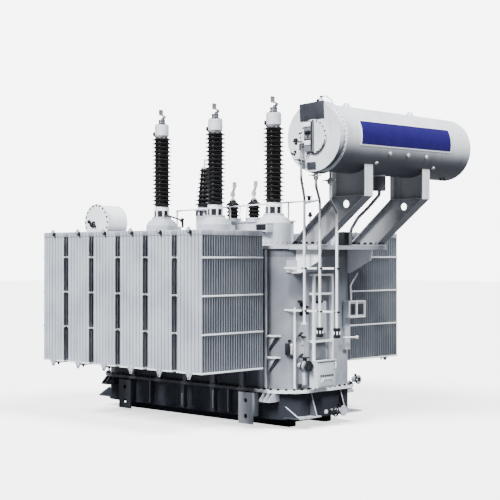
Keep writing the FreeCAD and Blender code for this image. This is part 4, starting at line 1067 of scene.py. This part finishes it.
for x, y, z in PIPE_VALVES:
    dark_parts.knob(0.030, 0.07, (x, y, z - 0.035))
    dark_parts.turned(stem(0.010, 0.09), (x, y, z), aim=(0, -1, 0.1))
    dark_parts.block((x - 0.055, y - 0.095, z + 0.004), (x + 0.055, y - 0.080, z + 0.018))
light_parts.knob(0.030, 0.055, (3.245, -1.325, 4.775))
dark_parts.knob(0.022, 0.03, (3.245, -1.325, 4.828))
dark_parts.knob(0.018, 0.05, (3.225, -1.325, 4.80), aim=(-1, -0.3, 0))
tubes(light_parts, [(3.245, -1.32, 4.84), (3.30, -1.30, 4.862), (3.36, -1.24, 4.80), (3.40, -1.22, 4.70)],
      0.010, 0.03)
for y, angle in STUDS:
    aim = Vector((math.cos(math.radians(angle)), 0, math.sin(math.radians(angle))))
    light_parts.turned([(0, -0.01), (0.030, -0.01), (0.030, 0.012), (0.022, 0.024), (0, 0.024)],
                       Vector((TANK_X, y, TANK_Z)) + aim * SHELL_RADIUS, aim=aim)
for y in (1.50, 1.60):
    dark_parts.knob(0.022, 0.03, (TANK_X + 0.13, y, TANK_Z - SHELL_RADIUS - 0.018))
bolt_circle(light_parts, [(TANK_X, -1.285, TANK_Z)], 0.4915, 44, 0.010, NEAR, "Y")
grey_plates.piece("bare_plates", plate_grey, "gauge_plastic")
dark_parts.piece("conservator_fittings", black_fitting, "relay_metal")
light_parts.piece("conservator_studs", tie_enamel, "tank_paint")

# %% The gauge and its knobs on the tap changer's drum
drum_dark = Shape()
DRUM_KNOBS = ((-0.175, 0.012, 0.032), (-0.10, -0.045, 0.040), (-0.055, 0.0, 0.020), (-0.03, -0.062, 0.026))
for dx, dz, size in DRUM_KNOBS:
    drum_dark.knob(size, 0.05, DRUM + Vector((dx, 0.002, dz)), aim=NEAR)
drum_dark.block(DRUM - Vector((0.17, 0.03, 0.03)), DRUM - Vector((0.05, 0.01, 0.01)), 0.006, tilt(28, "Y"))
drum_dark.piece("drum_gauge", black_fitting, "relay_metal")

# %% [markdown]
# ## The end wall
# The end wall under the conservator is the busiest place: a stiffening band round the corner, two bracket
# shelves, a junction box on a standpipe, the filter valve with its handwheel, clamps, and the doors, louvres
# and windows of the two cabinets. Nothing here repeats enough for a rule, so these are blocks, knobs and
# plates, sorted by finish into a few meshes.

# %% Band, post and bracket shelves
WALL_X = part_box("upper_tank")[1].x
BEND_X, BEND_Y, BEND = 1.78, -0.40, 0.42
BAND_LOW, BAND_HIGH, BAND_REACH = 2.365, 2.55, 0.022


def wrapped(work, start, stop, low, high, reach):
    """A band round the near corner of the tank, between two angles from +X."""
    part = bmesh.new()
    steps = 14
    walls = []
    for k in range(steps + 1):
        angle = math.radians(start + (stop - start) * k / steps)
        spot = []
        for radius in (BEND - 0.005, BEND + reach):
            x, y = BEND_X + radius * math.cos(angle), BEND_Y + radius * math.sin(angle)
            spot += [(x, y, low), (x, y, high)]
        walls.append([part.verts.new(p) for p in spot])
    for first, second in zip(walls, walls[1:]):
        for a, b in ((0, 1), (1, 3), (3, 2), (2, 0)):
            part.faces.new([first[a], first[b], second[b], second[a]])
    for wall in (walls[0], walls[-1]):
        part.faces.new([wall[0], wall[1], wall[3], wall[2]])
    work.take(part)


end_light, end_dark, end_grey, end_white = Shape(), Shape(), Shape(), Shape()
wrapped(end_light, -50.0, 0.0, BAND_LOW, BAND_HIGH, BAND_REACH)
end_light.block((WALL_X - 0.005, -0.402, BAND_LOW), (WALL_X + BAND_REACH, -0.12, BAND_HIGH))
end_white.blocks(((WALL_X - 0.07, -0.70, 2.352), (WALL_X + 0.03, -0.60, 2.364), 0.003),
                 ((1.715, -0.848, 0.60), (1.742, -0.815, 2.71)))
for z in (1.405, 1.080):
    end_white.plate([(1.775, -0.815), (1.775, -0.905), (1.96, -0.86), (1.985, -0.775)], "Z", z - 0.012,
                    z + 0.012)
    end_light.plate([(1.79, z - 0.01), (1.93, z - 0.01), (1.79, z - 0.20)], "Y", -0.842, -0.826)
    # Painted shadow: a dark plate under each bracket shelf stands for the shadow it casts on the wall.
    end_grey.plate([(1.80, z - 0.012), (1.96, z - 0.012), (1.94, z - 0.06), (1.80, z - 0.25)], "Y", -0.826,
                   -0.80)

# %% Junction box, standpipe and levers
# A lever is (y, z, lean); a cock is (y, z, height).
LEVERS = ((-0.585, 1.435, 35), (-0.52, 1.39, -8), (-0.578, 1.112, 30))
COCKS = ((-0.585, 1.925, 0.04), (-0.53, 1.885, 0.075), (-0.54, 1.745, 0.06), (-0.47, 1.84, 0.04),
         (-0.46, 1.75, 0.05), (-0.60, 1.79, 0.03))
end_dark.block((2.045, -0.775, 1.125), (2.125, -0.700, 1.30), 0.008, tilt(-45, "Z"))
end_white.block((2.108, -0.712, 1.13), (2.128, -0.675, 1.29), 0.004, tilt(-45, "Z"))
tubes(end_white, [(2.160, -0.660, 0.60), (2.160, -0.660, 1.835)], 0.016)
end_dark.knobs((0.022, 0.03, (2.125, -0.675, 1.075)), (0.024, 0.04, (2.09, -0.70, 1.315)))
for y, z, height in COCKS:
    end_dark.block((2.17, y - 0.028, z - height / 2), (2.25, y + 0.028, z + height / 2), 0.008)
for y, z, lean in LEVERS:
    end_dark.block((2.19, y - 0.042, z - 0.012), (2.235, y + 0.042, z + 0.014), 0.006, tilt(lean, "X"))
end_light.block((2.17, -0.535, 1.27), (2.20, -0.50, 1.42), 0.005)
end_dark.knob(0.026, 0.05, (2.17, -0.57, 0.66), aim=(1, -0.4, 0.2))
end_dark.block((2.16, -0.60, 0.615), (2.24, -0.52, 0.637), 0.006)

# %% Clamps and flanged feet of the conservator pipes
PIPE_X, PIPE_Y = (2.44, 2.74, 3.06), -0.76
for z in (1.80, 2.43):
    for x in PIPE_X:
        for near, far in ((-0.036, -0.020), (0.020, 0.036)):
            end_dark.block((x + near, -0.789, z - 0.013), (x + far, -0.728, z + 0.013), 0.003)
for x in PIPE_X[1:]:
    end_dark.turned([(0, 1.545), (0.056, 1.545), (0.056, 1.562), (0.03, 1.572), (0, 1.572)], (x, PIPE_Y, 0))
    end_dark.turned([(0, 1.424), (0.040, 1.424), (0.056, 1.438), (0.056, 1.450), (0, 1.450)], (x, PIPE_Y, 0))
    end_white.posts(6, 0.25, (x, PIPE_Y, 1.497), 0.048, (0.004, 0.011, 0.022), 0.003)

# %% Filter valve with its handwheel
HUB = Vector((2.30, -0.56, 0.96))
WHEEL = Vector((2.275, HUB.y, HUB.z + 0.125))
end_dark.turned(blind_flange(0.086, 0.026), (2.335, HUB.y, HUB.z), "X", steps=28)
end_dark.knobs((0.052, 0.10, (2.20, HUB.y, HUB.z), "X"), (0.030, 0.10, (2.275, HUB.y, HUB.z + 0.03)),
               (0.020, 0.08, (2.26, HUB.y + 0.10, HUB.z - 0.055), "X"),
               (0.024, 0.05, (2.28, HUB.y + 0.15, HUB.z + 0.02), "X"))
bolt_circle(end_dark, [(2.361, HUB.y, HUB.z)], 0.062, 8, 0.012, OUT, "X")
tubes(end_dark, ring(WHEEL, 0.06, "Z", 24) + [tuple(WHEEL + Vector((0.06, 0.002, 0)))], 0.009, 0.001)
for spoke in (Vector((0.058, 0.007, 0.006)), Vector((0.007, 0.058, 0.006))):
    end_dark.block(WHEEL - spoke, WHEEL + spoke, 0.003)
end_light.block((2.18, HUB.y + 0.045, HUB.z - 0.30), (2.24, HUB.y + 0.13, HUB.z - 0.10), 0.012)

# %% Cabinet under the ladder and the hatch above it
low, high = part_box("drive_cabinet")
FACE = high.x
HANDLE_Y = high.y - 0.035
end_light.blocks(
    ((FACE - 0.002, low.y + 0.02, low.z + 0.02), (FACE + 0.012, high.y - 0.02, high.z - 0.02)),
    ((FACE - 0.05, low.y - 0.012, high.z - 0.004), (FACE + 0.03, high.y + 0.012, high.z + 0.014)),
    ((WALL_X - 0.004, -0.275, 1.43), (WALL_X + 0.026, -0.005, 1.92), 0.008))
for k in range(7):
    end_dark.block((FACE + 0.010, low.y + 0.05 + k * 0.045, low.z + 0.165),
                   (FACE + 0.016, low.y + 0.082 + k * 0.045, low.z + 0.195), 0.002)
end_dark.block((WALL_X + 0.030, -0.26, 1.895), (WALL_X + 0.042, -0.10, 1.925), 0.003)
tubes(end_white, [(FACE + dx, HANDLE_Y, low.z + dz) for dx, dz in ((0.012, 0.28), (0.04, 0.28), (0.04, 0.37),
                                                                  (0.012, 0.37))], 0.008, 0.012)
tubes(end_white, [(FACE + 0.014, low.y + 0.06, low.z + 0.09), (FACE + 0.02, low.y + 0.12, low.z + 0.13),
                  (FACE + 0.02, high.y - 0.14, low.z + 0.13), (FACE + 0.014, high.y - 0.06, low.z + 0.08)],
      0.006, 0.05)
end_hatch = Shape()
end_hatch.blocks(((WALL_X - 0.004, -0.262, 1.935), (WALL_X + 0.030, -0.018, 2.325), 0.006),
                 ((WALL_X - 0.004, -0.262, 1.035), (WALL_X + 0.034, -0.018, 1.42), 0.006))
end_hatch.piece("end_hatch", gauge_grey, "tank_paint")

# %% Indicator box, duct, strut and far valve
BOX_X = 2.33
FAR_VALVE = Vector((2.14, 0.74, 0.66))
for near, far in ((0.455, 0.575), (0.640, 0.780)):
    end_grey.block((BOX_X - 0.004, near, 1.695), (BOX_X + 0.008, far, 1.865))
end_dark.block((BOX_X + 0.002, 0.50, 1.715), (BOX_X + 0.014, 0.535, 1.845), 0.003)
end_white.block((BOX_X - 0.004, 0.59, 1.665), (BOX_X + 0.012, 0.625, 1.895))
for near, far, foot, top in ((0.412, 0.828, 1.647, 1.663), (0.412, 0.828, 1.893, 1.909),
                             (0.412, 0.428, 1.647, 1.909), (0.812, 0.828, 1.647, 1.909)):
    end_white.block((BOX_X - 0.004, near, foot), (BOX_X + 0.014, far, top))
tubes(end_white, [(2.28, 0.35, 1.345), (2.33, 0.36, 1.345), (2.345, 0.60, 1.340)], 0.014, 0.02)
end_white.block((2.32, 0.585, 1.315), (2.36, 0.62, 1.365), 0.006)
tubes(end_white, [(2.24, 0.745, 2.34), (2.25, 0.66, 2.26), (2.25, 0.60, 2.20), (2.25, 0.555, 2.14),
                  (2.25, 0.57, 1.92)], 0.013, 0.03)
end_light.knob(0.045, 0.11, FAR_VALVE, "X")
end_dark.turned(blind_flange(0.070, 0.024), (2.245, FAR_VALVE.y, FAR_VALVE.z), "X", steps=24)
bolt_circle(end_light, [(2.269, FAR_VALVE.y, FAR_VALVE.z)], 0.050, 6, 0.011, OUT, "X")
end_dark.knob(0.02, 0.05, (2.20, FAR_VALVE.y, FAR_VALVE.z + 0.04))
end_light.piece("end_steel", light_enamel, "tank_paint")
end_white.piece("end_edges", white_coat, "tank_paint")
end_grey.piece("end_hatches", plate_grey, "gauge_plastic")
end_dark.piece("end_fittings", black_fitting, "relay_metal")

# %% [markdown]
# ## Details of the base
# The drain valve has a bolted face and a handwheel, the vent line a small valve where it meets the pipes. The
# stiffeners of the base show light lines along their edges, which thin light strips draw more crisply than a
# mark in the material would, and the towing brackets have a gusset and a stay.

# %% Drain, handwheel and vent valve
DRAIN = Vector((2.356, 0.25, 0.225))
DRAIN_WHEEL = Vector((2.385, 0.03, 0.235))
base_dark = Shape()
bolt_circle(base_dark, [DRAIN], 0.0625, 4, 0.010, OUT, "X")
base_dark.knobs((0.022, 0.05, (2.27, 0.25, 0.285)), (0.028, 0.07, (2.325, -0.52, 3.445)),
                (0.022, 0.07, (2.325, 0.03, 0.235), "X"))
base_dark.block((2.30, -0.57, 3.50), (2.35, -0.47, 3.515))
tubes(base_dark, ring(DRAIN_WHEEL, 0.072, "X", 24) + [(2.385, 0.102, 0.237)], 0.011, 0.001)
SPOKE = Vector((0.006, 0.070, 0.006))
for angle in (0, 60, 120):
    base_dark.block(DRAIN_WHEEL - SPOKE, DRAIN_WHEEL + SPOKE, 0.003, tilt(angle, "X"))
base_dark.knob(0.045, 0.10, (2.325, -0.03, 0.235), aim=NEAR)
base_dark.piece("base_fittings", black_fitting, "relay_metal")

# %% Light edge strips and towing gussets
# An edge is (x, lower end, upper end).
PALE_EDGE_STRIPS = ((-0.835, 0.19, 0.540), (-0.061, 0.20, 0.40), (0.651, 0.22, 0.50), (0.983, 0.19, 0.540))
base_edges, towing_gussets = Shape(), Shape()
for x, foot, top in PALE_EDGE_STRIPS:
    for near, far in ((-0.900, -0.890), (0.890, 0.900)):
        base_edges.block((x - 0.006, near, foot), (x + 0.006, far, top), 0.002)
base_edges.knob(0.036, 0.34, (2.325, -0.14, 0.235), "Y")
for end in (-1, 1):
    towing_gussets.plate([(end * 1.98, 0.188), (end * 2.31, 0.188), (end * 2.31, 0.20), (end * 2.06, 0.34),
                          (end * 2.02, 0.34)], "Y", -0.750, -0.738)
    slope = Vector((end * -0.26, 0.0, 0.147))
    base_edges.turned(stem(0.008, slope.length), (end * 2.318, -0.748, 0.194), aim=slope, steps=10)
towing_gussets.piece("towing_gussets", dark_enamel, "base_paint")
base_edges.piece("base_edges", light_enamel, "tank_paint")

# %% [markdown]
# ## Floor, light and camera
# Two wide suns do most of the work: one faces the front row, the other the conservator end. Neither looks
# down the slots between the panels, so the slots go dark while both long faces stay bright. The floor and the
# sky are paler to the eye than the light that they give, as paper behind a lit model is. The camera stands at
# eye height with a long lens, as if across the yard.

# %% Floor and sky
FLOOR_HALF, FLOOR_GLOW = 90.0, 1.6
SKY_LIGHT, SKY_SEEN = 0.25, 7.0
PAPER = rgb(0.97, 0.98, 1.0)
FLOOR_CORNERS = [(x * FLOOR_HALF, y * FLOOR_HALF, 0) for x, y in ((-1, -1), (1, -1), (1, 1), (-1, 1))]


def seen_and_lit(tree, lit, seen, surface):
    """Show one shader to the camera, and light everything else with another."""
    look = tree.node("ShaderNodeMixShader", {}, {
        0: tree.node("ShaderNodeLightPath").outputs["Is Camera Ray"], 1: lit.outputs[0], 2: seen.outputs[0]})
    tree.feed(surface, look.outputs[0])


floor_mesh = bpy.data.meshes.new("floor")
floor_mesh.from_pydata(FLOOR_CORNERS, [], [(0, 1, 2, 3)])
floor = bpy.data.objects.new("floor", floor_mesh)
bpy.context.scene.collection.objects.link(floor)
floor_mesh.materials.append(plain_coat("pale_floor", rgb(0.93, 0.935, 0.94), rgb(0.91, 0.915, 0.92), 0.9))
floor_tree = Tree(floor_mesh.materials[0].node_tree)
glowing = floor_tree.tree.nodes["Principled BSDF"]
glowing.inputs["Emission Color"].default_value = PAPER
glowing.inputs["Emission Strength"].default_value = FLOOR_GLOW
dull = floor_tree.node("ShaderNodeBsdfDiffuse", {}, {"Color": rgb(0.14, 0.145, 0.155)})
seen_and_lit(floor_tree, dull, glowing, floor_tree.tree.nodes["Material Output"].inputs["Surface"])

world = bpy.data.worlds.new("pale_sky")
world.use_nodes = True
sky = Tree(world.node_tree)
ambient = world.node_tree.nodes["Background"]
ambient.inputs["Color"].default_value = rgb(0.90, 0.94, 1.0)
ambient.inputs["Strength"].default_value = SKY_LIGHT
backdrop = sky.node("ShaderNodeBackground", {}, {"Color": PAPER, "Strength": SKY_SEEN})
seen_and_lit(sky, ambient, backdrop, world.node_tree.nodes["World Output"].inputs["Surface"])
bpy.context.scene.world = world
print("floor and sky", len(floor_tree.tree.nodes), len(world.node_tree.nodes), "nodes")


# %% Suns and camera
def soft_sun(name, turn, rise, spread, power):
    """A wide sun: turn is its compass angle from +X, rise its height above the ground, in degrees."""
    light = bpy.data.lights.new(name, "SUN")
    light.energy = power
    light.angle = math.radians(spread)
    flat = math.cos(math.radians(rise))
    toward = Vector((math.cos(math.radians(turn)) * flat, math.sin(math.radians(turn)) * flat,
                     math.sin(math.radians(rise))))
    holder = bpy.data.objects.new(name, light)
    holder.rotation_euler = (-toward).to_track_quat("-Z", "Y").to_euler()
    bpy.context.scene.collection.objects.link(holder)
    print("sun", name, power)


soft_sun("front_sun", -88, 42, 24, 11.0)
soft_sun("end_sun", 6, 53, 20, 7.0)

CAMERA_PLACE, CAMERA_TURN = (14.330, -14.392, 2.62), (90.2536, 0.0, 43.647)
camera_data = bpy.data.cameras.new("camera")
camera_data.sensor_width = 36.0
camera_data.lens = 87.88
camera_data.clip_end = 400.0
camera = bpy.data.objects.new("camera", camera_data)
camera.location = CAMERA_PLACE
camera.rotation_euler = [math.radians(angle) for angle in CAMERA_TURN]
bpy.context.scene.collection.objects.link(camera)
bpy.context.scene.camera = camera
